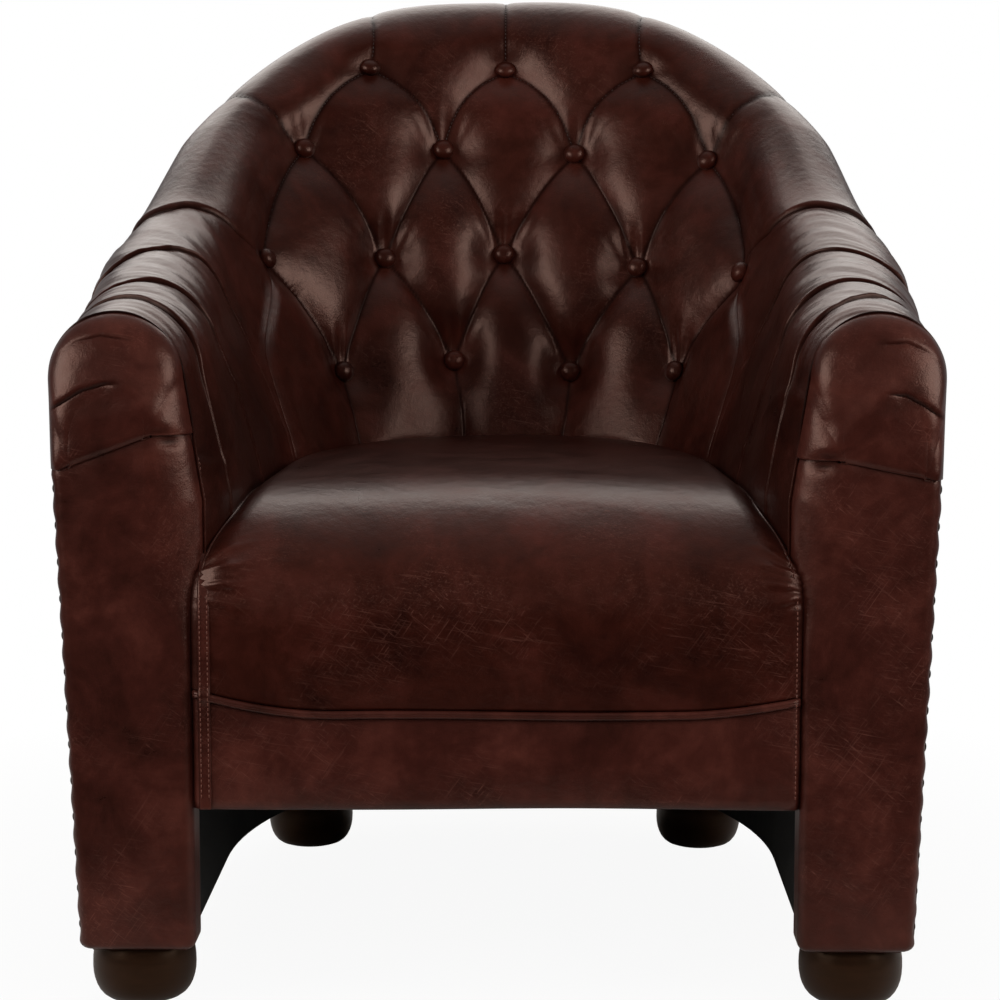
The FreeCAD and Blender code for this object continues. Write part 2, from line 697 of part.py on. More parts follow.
def arm_chain(station, inset):
    """Pleated inside arm at a station, then the roll."""
    drop = pleat_drop(station)
    low = SEAT_EDGE_HEIGHT + TUFT_NECK / 2
    level = rim(station) - ROLL_DROP
    half_way = (low + level) / 2
    swell = ARM_SWELL * smooth(level - low, 0.0, 2 * ROLL_DROP) + 1.0
    chain = [
        (pad_face(station, PAD_BOTTOM) + inset + drop, PAD_BOTTOM),
        None,
        (pad_face(station, low) + inset + drop, low),
        ((pad_face(station, low) + pad_face(station, level)) / 2 + inset + drop - swell, half_way),
    ]
    return chain + roll_chain(station, inset, drop)


def skin_solid(stations, chain):
    """Leather between the face and the same face set in by its thickness."""
    wires = []
    for s in stations:
        outer = edges_of(s, chain(s, 0.0))
        inner = edges_of(s, chain(s, LEATHER_THICKNESS), backwards=True)
        lip_edge = Part.makeLine(outer[-1].Vertexes[-1].Point, inner[0].Vertexes[0].Point)
        foot_edge = Part.makeLine(inner[-1].Vertexes[-1].Point, outer[0].Vertexes[0].Point)
        wires.append(Part.Wire(outer + [lip_edge] + inner + [foot_edge]))
    return Part.makeLoft(wires, True, True)


def foam_solid(stations, chain):
    """Padding between the skin and the frame: over the top rail and down behind the webbing line."""
    wires = []
    for s in stations:
        face = edges_of(s, chain(s, SKIN))
        top = top_rail_top(s) + FIT_GAP
        low = rim(s) - ROLL_LIP
        corners = [
            frame_place(s, FRAME_OUTER + FIT_GAP, low),
            frame_place(s, FRAME_OUTER + FIT_GAP, top),
            frame_place(s, webbing_inner - FIT_GAP, top),
            frame_place(s, webbing_inner - FIT_GAP, PAD_BOTTOM),
        ]
        points = [face[-1].Vertexes[-1].Point] + corners + [face[0].Vertexes[0].Point]
        back = [Part.makeLine(points[i], points[i + 1]) for i in range(len(points) - 1)]
        wires.append(Part.Wire(face + back))
    return Part.makeLoft(wires, True, True)


half_columns = spaced(0.0, 1.5 * TUFT_PITCH, TUFT_PITCH / 8)
outer_columns = spaced(1.5 * TUFT_PITCH, column_station(2), TUFT_PITCH_OUTER / 8)[1:]
end_columns = spaced(column_station(2), BACK_PAD_END, TUFT_PITCH_OUTER / 7)[1:]
right_stations = half_columns + outer_columns + end_columns
back_stations = [-s for s in right_stations[:0:-1]] + right_stations
nodes["back_cover"] = skin_solid(back_stations, back_chain)
nodes["back_foam"] = foam_solid(back_stations, back_chain)

arm_stations = {BACK_PAD_END, PAD_FRONT}
for distance in ARM_PLEATS:
    for offset in (-PLEAT_HALF_WIDTH, 0.0, PLEAT_HALF_WIDTH):
        arm_stations.add(PAD_FRONT - distance + offset)
for station in spaced(BACK_PAD_END, PAD_FRONT, 2 * STATION_STEP)[1:-1]:
    if all(abs(PAD_FRONT - station - distance) > 1.5 * PLEAT_HALF_WIDTH for distance in ARM_PLEATS):
        arm_stations.add(station)
arm_stations = sorted(arm_stations)
pair("arm_cover", skin_solid(arm_stations, arm_chain))
pair("arm_foam", foam_solid(arm_stations, arm_chain))

# Leather-covered buttons in the valleys of the tufts, each on its own short shank
buttons = []
for row_height, columns, neck_crown in zip(
        ROW_HEIGHTS, ROW_COLUMNS, (0.0, crown(TUFT_NECK), crown(TUFT_NECK), 0.0)):
    for column in columns:
        station = column_station(column)
        outward = wall_place(station)[1]
        rake = along(station, RAKE_STATIONS, RAKE_VALUES)
        axis = Vector(-outward.x, -outward.y, rake).normalize()
        valley = place(station, pad_face(station, row_height) + TUFT_VALLEY, row_height)
        base = valley + axis * BUTTON_STAND
        shank_start = valley + axis * (neck_crown + BUTTON_SHANK_GAP)
        radius = BUTTON_DIAMETER / 2
        ball = (radius ** 2 + BUTTON_DOME ** 2) / (2 * BUTTON_DOME)
        dome = Part.makeSphere(ball, base + axis * (BUTTON_DOME - ball))
        disc = Part.makeCylinder(radius, BUTTON_DOME + 1, base, axis)
        shank = rod(shank_start, base, BUTTON_SHANK_DIAMETER)
        buttons.append(disc.common(dome).fuse(shank).removeSplitter())
nodes["tuft_buttons"] = group(buttons)

# Arm fronts: padded facing below the seam, domed cap above it
def cap_seam(out):
    """Height of the seam between facing and cap, rising towards the inside of the arm."""
    inner_end = pad_face(PAD_FRONT, SEAT_EDGE_HEIGHT)
    outer_end = WALL_OUTER + lean(PAD_FRONT, lip_bottom)
    share = (outer_end - out) / (outer_end - inner_end)
    return lip_bottom + CAP_SEAM_RISE * share


def facing_outline(inset, y):
    inner = FACING_INNER + inset
    outer_low = WALL_OUTER - inset
    outer_high = WALL_OUTER - inset + lean(PAD_FRONT, lip_bottom)
    top_inner = pad_face(PAD_FRONT, lip_bottom + CAP_SEAM_RISE) + inset
    corners = [
        (inner, BASE_Z + inset),
        (outer_low, BASE_Z + inset),
        (outer_high, cap_seam(outer_high) - FIT_GAP),
        (top_inner, cap_seam(top_inner) - FIT_GAP),
        (inner, SEAT_EDGE_HEIGHT),
    ]
    return [Vector(WALL_HALF_WIDTH + out, y, z) for out, z in corners]


def facing_body(inset, front_y, rounding):
    """Facing plate with its long front edges rounded."""
    body = prism(facing_outline(inset, front_y), Vector(0, BOARD_FRONT_Y - front_y, 0))
    edges = []
    for edge in body.Edges:
        first, last = edge.Vertexes[0].Point, edge.Vertexes[-1].Point
        on_front = abs(first.y - front_y) < FIT_GAP and abs(last.y - front_y) < FIT_GAP
        if on_front and abs(last.z - first.z) > 2 * CAP_SEAM_RISE:
            edges.append(edge)
    return body.makeFillet(min(rounding, FACING_ROUND_SHARE * (BOARD_FRONT_Y - front_y)), edges)


facing_foam = facing_body(LEATHER_THICKNESS, FRONT_Y + LEATHER_THICKNESS, FACING_ROUND - LEATHER_THICKNESS)
pair("facing_foam", facing_foam)
pair("facing_cover", facing_body(0.0, FRONT_Y, FACING_ROUND).cut(facing_foam))


def cap_section(y, inset, lift):
    """Outline of the cap across the arm, set in at the sides and lifted at the seam."""
    roll = roll_chain(PAD_FRONT, inset, 0.0)
    inner_out = pad_face(PAD_FRONT, lip_bottom + CAP_SEAM_RISE) + inset
    outer_out = roll[-1][0]
    corners = [(inner_out, cap_seam(inner_out) + lift), None] + roll[:5]
    corners += [None, (outer_out, cap_seam(outer_out) + lift), None, (inner_out, cap_seam(inner_out) + lift)]
    return Part.Wire(chain_edges([Vector(WALL_HALF_WIDTH + p[0], y, p[1]) if p else None for p in corners]))


def cap_body(skin):
    """Dome from the seam of the arm pad to the front of the arm."""
    depth = BOARD_FRONT_Y - CAP_FRONT_Y - skin
    wires = []
    for share, inset, lift in CAP_SECTIONS:
        wires.append(cap_section(BOARD_FRONT_Y - depth * share, inset + skin, lift + skin))
    return Part.makeLoft(wires, True, True)


pair("arm_cap_cover", cap_body(0.0).cut(cap_body(LEATHER_THICKNESS)))
pair("arm_cap_foam", cap_body(SKIN))

# Outer panels and outside covers, in three lengths, with the nails along the arm fronts
def outer_top(s):
    return rim(s) - ROLL_LIP - FIT_GAP


nail_station = PAD_FRONT - FACING_BOARD_THICKNESS / 2
nail_axis = Vector(1, 0, -ARM_LEAN).normalize()
nail_count = int((lip_bottom - BASE_Z - 2 * NAIL_MARGIN) / NAIL_PITCH) + 1
nails = []
nail_holes = []
for index in range(nail_count):
    head = frame_place(nail_station, WALL_OUTER, BASE_Z + NAIL_MARGIN + NAIL_PITCH * index)
    ball = ((NAIL_HEAD_DIAMETER / 2) ** 2 + NAIL_HEAD_HEIGHT ** 2) / (2 * NAIL_HEAD_HEIGHT)
    dome = Part.makeSphere(ball, head + nail_axis * (NAIL_HEAD_HEIGHT - ball))
    disc = Part.makeCylinder(NAIL_HEAD_DIAMETER / 2, NAIL_HEAD_HEIGHT + 1, head, nail_axis)
    tip = head - nail_axis * NAIL_SHANK_LENGTH
    nails.append(disc.common(dome).fuse(rod(tip, head, NAIL_SHANK_DIAMETER)).removeSplitter())
    hole_end = tip - nail_axis * HOLE_GAP
    nail_holes.append(rod(hole_end, head + nail_axis, NAIL_SHANK_DIAMETER + 2 * HOLE_GAP))
nodes["trim_nails"] = group(nails + [mirrored(nail) for nail in nails])
nail_holes = group(nail_holes)

arm_run = spaced(OUTER_SEAM_STATION, PAD_FRONT)
back_run = spaced(-OUTER_SEAM_STATION, OUTER_SEAM_STATION)
pair("outer_panel", bar(arm_run, FRAME_OUTER, PANEL_OUTER, BASE_Z, outer_top).cut(nail_holes))
pair("outside_cover", bar(arm_run, COVER_INNER, WALL_OUTER, BASE_Z, outer_top).cut(nail_holes))
nodes["outer_panel_back"] = bar(back_run, FRAME_OUTER, PANEL_OUTER, BASE_Z, outer_top)
nodes["outside_cover_back"] = bar(back_run, COVER_INNER, WALL_OUTER, BASE_Z, outer_top)
pair("facing_board", facing_board.cut(nail_holes))

# Lining of the base below the seat, and the dust cover under the seat rails
lining_top = SEAT_RAIL_BOTTOM - LINING_THICKNESS - FIT_GAP
nodes["base_lining"] = bar(
    spaced(-FRAME_FRONT, FRAME_FRONT), FRAME_INNER - LINING_THICKNESS, FRAME_INNER, BASE_Z, lining_top)
flange_back_y = FRAME_FRONT_Y - BAND_FOAM + BAND_FLANGE
dust_stations = spaced(-station_at_y(flange_back_y + FIT_GAP), station_at_y(flange_back_y + FIT_GAP))
dust_outline = [frame_place(s, rail_middle, SEAT_RAIL_BOTTOM) for s in dust_stations]
nodes["dust_cover"] = prism(dust_outline, Vector(0, 0, -LINING_THICKNESS))

# Seat: felt on the springs, foam, leather cover, welt and front band
felt_bottom = WIRE_TOP
felt_front_y = front_wire_y + CLIP_DEPTH / 2 + FIT_GAP
felt_stations = spaced(-station_at_y(felt_front_y), station_at_y(felt_front_y))
felt_outline = [
    place(s, min(pad_face(s, 0.0), rail_middle) - FELT_MARGIN, felt_bottom) for s in felt_stations
]
nodes["spring_felt"] = prism(felt_outline, Vector(0, 0, FELT_THICKNESS))

seat_bottom = felt_bottom + FELT_THICKNESS + FIT_GAP
welt_gap = WELT_DIAMETER / 2 + FIT_GAP


def seat_outline(z, side_inset, front_y):
    """Plan of the seat at a height: bowed front, then arcs that follow the inside padding."""
    def side_point(s):
        return place(s, pad_face(s, 0.0) - SEAT_CLEARANCE - side_inset, z)

    turn = FACING_ROUND
    side_end = station_at_y(front_y + turn)
    step = 2 * side_end / SEAT_OUTLINE_POINTS
    points = [side_point(-side_end + step * i) for i in range(SEAT_OUTLINE_POINTS + 1)]
    edges = chain_edges(points)
    left = points[0]
    right = points[-1]
    left_front = Vector(left.x + turn, front_y, z)
    right_front = Vector(right.x - turn, front_y, z)
    lean_in = turn * (1 - math.sqrt(0.5))
    corner_y = front_y + lean_in
    edges.append(Part.Arc(right, Vector(right.x - lean_in, corner_y, z), right_front).toShape())
    edges.append(Part.makeLine(right_front, left_front))
    edges.append(Part.Arc(left_front, Vector(left.x + lean_in, corner_y, z), left).toShape())
    return Part.Wire(edges)


def seat_body(bottom, skin):
    top = SEAT_EDGE_HEIGHT + SEAT_CROWN - skin
    wires = []
    for share, side_share, front_share in SEAT_LEVELS:
        front_y = FRONT_Y + skin + SEAT_FRONT_BULGE * front_share
        side_inset = SEAT_ROOM * side_share + skin
        wires.append(seat_outline(bottom + (top - bottom) * share, side_inset, front_y))
    return Part.makeLoft(wires, True, True)


cover_bottom = WELT_HEIGHT + welt_gap
nodes["seat_cover"] = seat_body(cover_bottom, 0.0).cut(seat_body(seat_bottom, LEATHER_THICKNESS))

band_half = WALL_HALF_WIDTH + FACING_INNER - BAND_SIDE_GAP
band_top = WELT_HEIGHT - welt_gap
band_foam_y = FRAME_FRONT_Y - BAND_FOAM
band_bottom = SEAT_RAIL_BOTTOM - LEATHER_THICKNESS
nodes["front_band_foam"] = Part.makeBox(
    2 * band_half, BAND_FOAM, seat_bottom - FIT_GAP - SEAT_RAIL_BOTTOM,
    Vector(-band_half, band_foam_y, SEAT_RAIL_BOTTOM))
band_plate = Part.makeBox(
    2 * band_half, LEATHER_THICKNESS, band_top - band_bottom,
    Vector(-band_half, band_foam_y - LEATHER_THICKNESS, band_bottom))
band_flange = Part.makeBox(
    2 * band_half, BAND_FLANGE, LEATHER_THICKNESS, Vector(-band_half, band_foam_y, band_bottom))
nodes["front_band_cover"] = band_plate.fuse(band_flange).removeSplitter()
welt_y = band_foam_y - LEATHER_THICKNESS + WELT_DIAMETER / 2 - SEAT_FRONT_BULGE
welt_end = Vector(band_half, welt_y, WELT_HEIGHT)
welt_start = Vector(-band_half, welt_y, WELT_HEIGHT)
nodes["seat_welt"] = rod(welt_start, welt_end, WELT_DIAMETER)
welt_groove = rod(welt_start, welt_end, WELT_DIAMETER + 2 * FIT_GAP)
band_space = Part.makeBox(
    2 * (band_half + FIT_GAP), LEATHER_THICKNESS + 2 * FIT_GAP, band_top + FIT_GAP - band_bottom,
    Vector(-band_half - FIT_GAP, band_foam_y - LEATHER_THICKNESS - FIT_GAP, band_bottom))
nodes["seat_foam"] = seat_body(seat_bottom, SKIN).cut(welt_groove).cut(band_space)

# One file for each node
os.makedirs("parts", exist_ok=True)
for name, shape in sorted(nodes.items()):
    shape.exportStep("parts/" + name + ".step")
    print(name, len(shape.Solids), shape.isValid(), round(shape.Volume / 1000.0, 1))
whole = group(list(nodes.values())).BoundBox
print("nodes", len(nodes), "box", whole)
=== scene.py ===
import math

import bmesh
import bpy
import numpy as np
from mathutils import Matrix, Vector


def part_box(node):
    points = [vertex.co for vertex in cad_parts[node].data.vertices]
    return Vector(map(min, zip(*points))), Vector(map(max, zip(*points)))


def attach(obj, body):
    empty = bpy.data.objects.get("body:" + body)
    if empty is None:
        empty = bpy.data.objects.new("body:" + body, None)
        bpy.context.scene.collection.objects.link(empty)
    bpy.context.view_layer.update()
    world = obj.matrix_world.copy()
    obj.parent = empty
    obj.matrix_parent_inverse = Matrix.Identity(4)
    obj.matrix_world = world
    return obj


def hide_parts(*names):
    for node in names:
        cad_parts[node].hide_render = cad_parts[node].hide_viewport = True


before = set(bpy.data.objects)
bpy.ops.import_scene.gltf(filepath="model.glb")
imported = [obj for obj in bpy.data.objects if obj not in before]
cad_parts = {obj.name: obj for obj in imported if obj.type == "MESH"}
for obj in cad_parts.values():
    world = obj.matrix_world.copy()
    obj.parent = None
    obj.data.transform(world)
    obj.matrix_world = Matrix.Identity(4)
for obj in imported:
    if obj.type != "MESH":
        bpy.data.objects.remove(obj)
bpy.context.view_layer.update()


# Timber frame: beech posts and rails, glued and screwed, on a bent plywood hoop.
# Fibreboard panels close the outside. All of it is hidden except the hoop's underside.
def linear(colour):
    """sRGB hex to the linear colour that a shader takes."""
    parts = [int(colour[i:i + 2], 16) / 255 for i in (1, 3, 5)]
    return [c / 12.92 if c <= 0.04045 else ((c + 0.055) / 1.055) ** 2.4 for c in parts] + [1.0]


def add_node(tree, kind, inputs=None, **settings):
    """One node with its settings; an input is a value or the socket that feeds it."""
    node = tree.nodes.new(kind)
    for name, value in settings.items():
        setattr(node, name, value)
    for key, value in (inputs or {}).items():
        if isinstance(value, bpy.types.NodeSocket):
            tree.links.new(value, node.inputs[key])
        else:
            node.inputs[key].default_value = value
    return node


def grained(name, pale, deep, grain, roughness, relief, metal=0.0):
    """Finish with a fine pattern between two tones; grain is its size along X, Y and Z in metres."""
    material = bpy.data.materials.new(name)
    material.use_nodes = True
    tree = material.node_tree
    shader = tree.nodes["Principled BSDF"]
    shader.inputs["Metallic"].default_value = metal
    place = add_node(tree, "ShaderNodeTexCoord").outputs["Object"]
    scaled = add_node(tree, "ShaderNodeMapping", {"Vector": place, "Scale": [1 / size for size in grain]})
    pattern = add_node(tree, "ShaderNodeTexNoise", {
        "Vector": scaled.outputs["Vector"], "Scale": 1.0, "Detail": 5.0, "Roughness": 0.6})
    tones = add_node(tree, "ShaderNodeMix", {
        "Factor": pattern.outputs["Fac"], 6: linear(deep), 7: linear(pale)}, data_type="RGBA")
    tree.links.new(tones.outputs[2], shader.inputs["Base Color"])
    rough = add_node(tree, "ShaderNodeMapRange", {
        "Value": pattern.outputs["Fac"], 3: roughness - 0.06, 4: roughness + 0.06})
    tree.links.new(rough.outputs[0], shader.inputs["Roughness"])
    bump = add_node(tree, "ShaderNodeBump", {
        "Height": pattern.outputs["Fac"], "Strength": 0.5, "Distance": relief})
    tree.links.new(bump.outputs["Normal"], shader.inputs["Normal"])
    return material


def finish_nodes(material, *names):
    """Gives the CAD pieces whose shape is already right their real finish."""
    for name in names:
        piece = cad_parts[name]
        piece.data.materials.clear()
        piece.data.materials.append(material)


# Sawn beech: pale pinkish brown, short grain flecks along the height of the posts
beech = grained("sawn_beech", "#c9a37a", "#a67c52", (0.004, 0.004, 0.06), 0.6, 0.0004)
finish_nodes(
    beech, "arm_post_left", "arm_post_right", "side_post_left", "side_post_right", "rear_post_left",
    "rear_post_right", "back_post", "arm_rail_left", "arm_rail_right", "crest_rail", "seat_back_rail",
    "seat_front_rail", "seat_side_rail_left", "seat_side_rail_right", "corner_blocks", "frame_dowels")
# Birch plywood: yellowish face with its thin plies as lines round the edge
plywood = grained("birch_plywood", "#cdb083", "#9c7a4c", (0.05, 0.05, 0.0015), 0.62, 0.0003)
finish_nodes(plywood, "base_hoop", "facing_board_left", "facing_board_right")
# Hardboard: plain dull brown, very fine fibres
hardboard = grained("hardboard", "#86613f", "#6a4a2e", (0.003, 0.003, 0.003), 0.7, 0.0002)
finish_nodes(hardboard, "outer_panel_back", "outer_panel_left", "outer_panel_right")
# Zinc plated steel of screws, bolts and inserts: bright grey, slightly cloudy
zinc = grained("zinc_plated_steel", "#c8ccd0", "#9aa0a6", (0.006, 0.006, 0.006), 0.35, 0.0001, 1.0)
finish_nodes(zinc, "frame_screws", "foot_bolts", "foot_inserts")


# Seat suspension: five sinuous steel springs in clips on the rails, felt over them,
# and jute webbing straps tacked up the inside of the back and arms.
# Oiled spring wire: dark grey metal with a dull shine
spring_steel = grained("oiled_spring_wire", "#6d7074", "#45484c", (0.01, 0.01, 0.01), 0.42, 0.0001, 1.0)
finish_nodes(spring_steel, "seat_springs", "spring_clips")
# Jute webbing: straw coloured, coarse cross threads about 2.5 mm apart
jute = grained("jute_webbing", "#b8996a", "#8a6f47", (0.0025, 0.0025, 0.0025), 0.9, 0.0006)
finish_nodes(jute, "back_webbing")
# Pressed felt: mottled grey, no shine
felt = grained("pressed_felt", "#77736c", "#55524c", (0.004, 0.004, 0.004), 0.95, 0.0005)
finish_nodes(felt, "spring_felt")


# Bun feet: four turned hardwood feet, stained near black and lacquered,
# each on a bolt that screws up into the plywood hoop.
FOOT_HEIGHT = 0.057
FOOT_FLAT_RADIUS = 0.020
FOOT_LOWER_ROUND = (0.023, 0.028)
FOOT_UPPER_START = (0.0205, 0.0305)
FOOT_UPPER_ROUND = (0.0225, 0.0335)
FOOT_NECK = [(0.0365, 0.0555), (0.0345, FOOT_HEIGHT), (0.0, FOOT_HEIGHT)]
# Stained and lacquered wood: near black brown, faint growth rings, satin shine
stained_wood = grained("stained_lacquered_wood", "#2a190f", "#150c07", (0.02, 0.02, 0.004), 0.34, 0.00015)
stained_wood.node_tree.nodes["Principled BSDF"].inputs["Specular IOR Level"].default_value = 0.3
stained_wood.node_tree.nodes["Principled BSDF"].inputs["Specular Tint"].default_value = linear("#d8b090")


def finished_piece(name, mesh, material, slot, *nodes):
    """Object of a finished mesh: smooth, riding on the chair, in place of its CAD nodes."""
    mesh.shade_smooth()
    mesh.materials.append(material)
    piece = bpy.data.objects.new(name, mesh)
    bpy.context.scene.collection.objects.link(piece)
    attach(piece, "root")
    if nodes:
        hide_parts(*nodes)
    return piece


def turned(name, outline, steps):
    """Mesh spun about the Z axis from an outline of (radius, height) points that ends on the axis."""
    bm = bmesh.new()
    points = [bm.verts.new((radius, 0.0, height)) for radius, height in outline]
    edges = [bm.edges.new(pair) for pair in zip(points, points[1:])]
    bmesh.ops.spin(
        bm, geom=points + edges, cent=(0, 0, 0), axis=(0, 0, 1), angle=2 * math.pi, steps=steps,
        use_merge=True)
    bmesh.ops.remove_doubles(bm, verts=bm.verts, dist=1e-6)
    bmesh.ops.recalc_face_normals(bm, faces=bm.faces)
    mesh = bpy.data.meshes.new(name)
    bm.to_mesh(mesh)
    bm.free()
    return mesh


foot_outline = [(0.0, 0.0)]
for turn in range(9):
    angle = math.radians(90 * turn / 8)
    radius = FOOT_FLAT_RADIUS + FOOT_LOWER_ROUND[0] * math.sin(angle) ** 0.7
    foot_outline.append((radius, FOOT_LOWER_ROUND[1] * (1 - math.cos(angle))))
for turn in range(1, 7):
    angle = math.radians(52 * turn / 7)
    radius = FOOT_UPPER_START[0] + FOOT_UPPER_ROUND[0] * math.cos(angle) ** 0.9
    foot_outline.append((radius, FOOT_UPPER_START[1] + FOOT_UPPER_ROUND[1] * math.sin(angle)))
foot_outline += FOOT_NECK
for corner in ("front_left", "front_right", "rear_left", "rear_right"):
    low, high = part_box("foot_" + corner)
    mesh = turned("bun_foot_" + corner, foot_outline, 56)
    mesh.transform(Matrix.Translation(((low.x + high.x) / 2, (low.y + high.y) / 2, 0.0)))
    finished_piece("bun_foot_" + corner, mesh, stained_wood, "foot_wood", "foot_" + corner)


# Black lining: cambric stapled inside the base below the seat, and the dust cover under it.
# Both are dull woven cloth, pulled flat and stapled to the rails and the hoop.
# Black cambric: soft black weave with threads about 1 mm apart, drawn at 2 mm to show
cambric = grained("black_cambric", "#0e0d0d", "#050505", (0.002, 0.002, 0.002), 0.9, 0.0003)
finish_nodes(cambric, "base_lining", "dust_cover")


# Plan of the tub: its wall follows a U of three arcs and straight sides, measured in metres
# along the wall from the middle of the back. Each leather cover is cut to follow it.
HALF_WIDTH = 0.298
BACK_Y = 0.250
SIDE_CURVE_Y = -0.100
SIDE_RADIUS = 0.520
SIDE_TURN = math.radians(25)
BACK_TURN = math.radians(20)
BASE_Z = 0.057
SEAT_Z = 0.420
WALL_OUTER = 0.042
PAD_END = 0.7905

corner_turn = math.pi / 2 - BACK_TURN
corner_x = HALF_WIDTH - SIDE_RADIUS * (1 - math.cos(SIDE_TURN))
corner_y = SIDE_CURVE_Y + SIDE_RADIUS * math.sin(SIDE_TURN)
rise_x = math.cos(SIDE_TURN) - math.cos(corner_turn)
rise_y = math.sin(corner_turn) - math.sin(SIDE_TURN)
back_x = math.cos(corner_turn)
back_y = 1 - math.sin(corner_turn)
CORNER_RADIUS = ((BACK_Y - corner_y) * back_x - corner_x * back_y) / (rise_y * back_x - rise_x * back_y)
BACK_RADIUS = (corner_x - CORNER_RADIUS * rise_x) / back_x
BACK_RUN = BACK_RADIUS * BACK_TURN
CORNER_RUN = BACK_RUN + CORNER_RADIUS * (corner_turn - SIDE_TURN)
CURVE_RUN = CORNER_RUN + SIDE_RADIUS * SIDE_TURN


def wall(s):
    """Points on the wall's middle line at distances s, and the outward directions there."""
    run = np.abs(s)
    side = np.where(s < 0, -1.0, 1.0)
    turn = np.where(run <= BACK_RUN, math.pi / 2 - run / BACK_RADIUS, np.where(
        run <= CORNER_RUN, corner_turn - (run - BACK_RUN) / CORNER_RADIUS,
        np.maximum(0.0, CURVE_RUN - run) / SIDE_RADIUS))
    x = np.where(run <= BACK_RUN, BACK_RADIUS * np.cos(turn), np.where(
        run <= CORNER_RUN, corner_x + CORNER_RADIUS * (np.cos(turn) - math.cos(SIDE_TURN)),
        HALF_WIDTH - SIDE_RADIUS * (1 - np.cos(turn))))
    y = np.where(run <= BACK_RUN, BACK_Y - BACK_RADIUS * (1 - np.sin(turn)), np.where(
        run <= CORNER_RUN, corner_y + CORNER_RADIUS * (np.sin(turn) - math.sin(SIDE_TURN)),
        SIDE_CURVE_Y + SIDE_RADIUS * np.sin(turn) - np.maximum(0.0, run - CURVE_RUN)))
    return np.stack([side * x, y], -1), np.stack([side * np.cos(turn), np.sin(turn)], -1)


def along(s, stations, values):
    """Smooth curve through values given at distances along the wall."""
    stations, values = np.array(stations), np.array(values)
    slopes = np.diff(values) / np.diff(stations)
    tangents = np.concatenate([[0.0], (slopes[:-1] + slopes[1:]) / 2, slopes[-1:]])
    run = np.minimum(np.abs(s), stations[-1])
    i = np.clip(np.searchsorted(stations, run, "right") - 1, 0, len(slopes) - 1)
    width = stations[i + 1] - stations[i]
    t = (run - stations[i]) / width
    start = (1 + 2 * t) * (1 - t) ** 2 * values[i] + t * (1 - t) ** 2 * width * tangents[i]
    return start + t * t * (3 - 2 * t) * values[i + 1] + t * t * (t - 1) * width * tangents[i + 1]


def eased(value, low, high):
    """Smooth step from 0 at low to 1 at high."""
    share = np.clip((value - low) / (high - low), 0.0, 1.0)
    return share * share * (3 - 2 * share)


def rim(s):
    """Height of the crest of the roll."""
    return along(s, (0, 0.14, 0.28, 0.42, 0.56, 0.788), (0.868, 0.847, 0.748, 0.658, 0.612, 0.568))


def lean(s, z):
    """How far the wall leans outwards at a height: most at the back, least at the arm fronts."""
    return (0.11 - 0.07 * eased(np.abs(s), 0.12, 0.43)) * (z - BASE_Z)


def pad_face(s, z):
    """Inside face of the padding, out from the wall's middle line."""
    reach = along(s, (0, 0.315, 0.48, 0.64, 0.73, 0.788), (0.112, 0.112, 0.1, 0.086, 0.078, 0.056))
    rake = along(s, (0, 0.15, 0.315, 0.56, 0.788), (0.3, 0.3, 0.4, 0.3, 0.15))
    return rake * np.maximum(0.0, z - SEAT_Z) - reach


def wall_point(s, out, z):
    """Place at a distance along the wall, a distance out from its middle line, and a height."""
    point, outward = wall(s)
    flat = point + outward * np.asarray(out)[..., None]
    return np.concatenate([flat, np.asarray(z)[..., None]], -1)


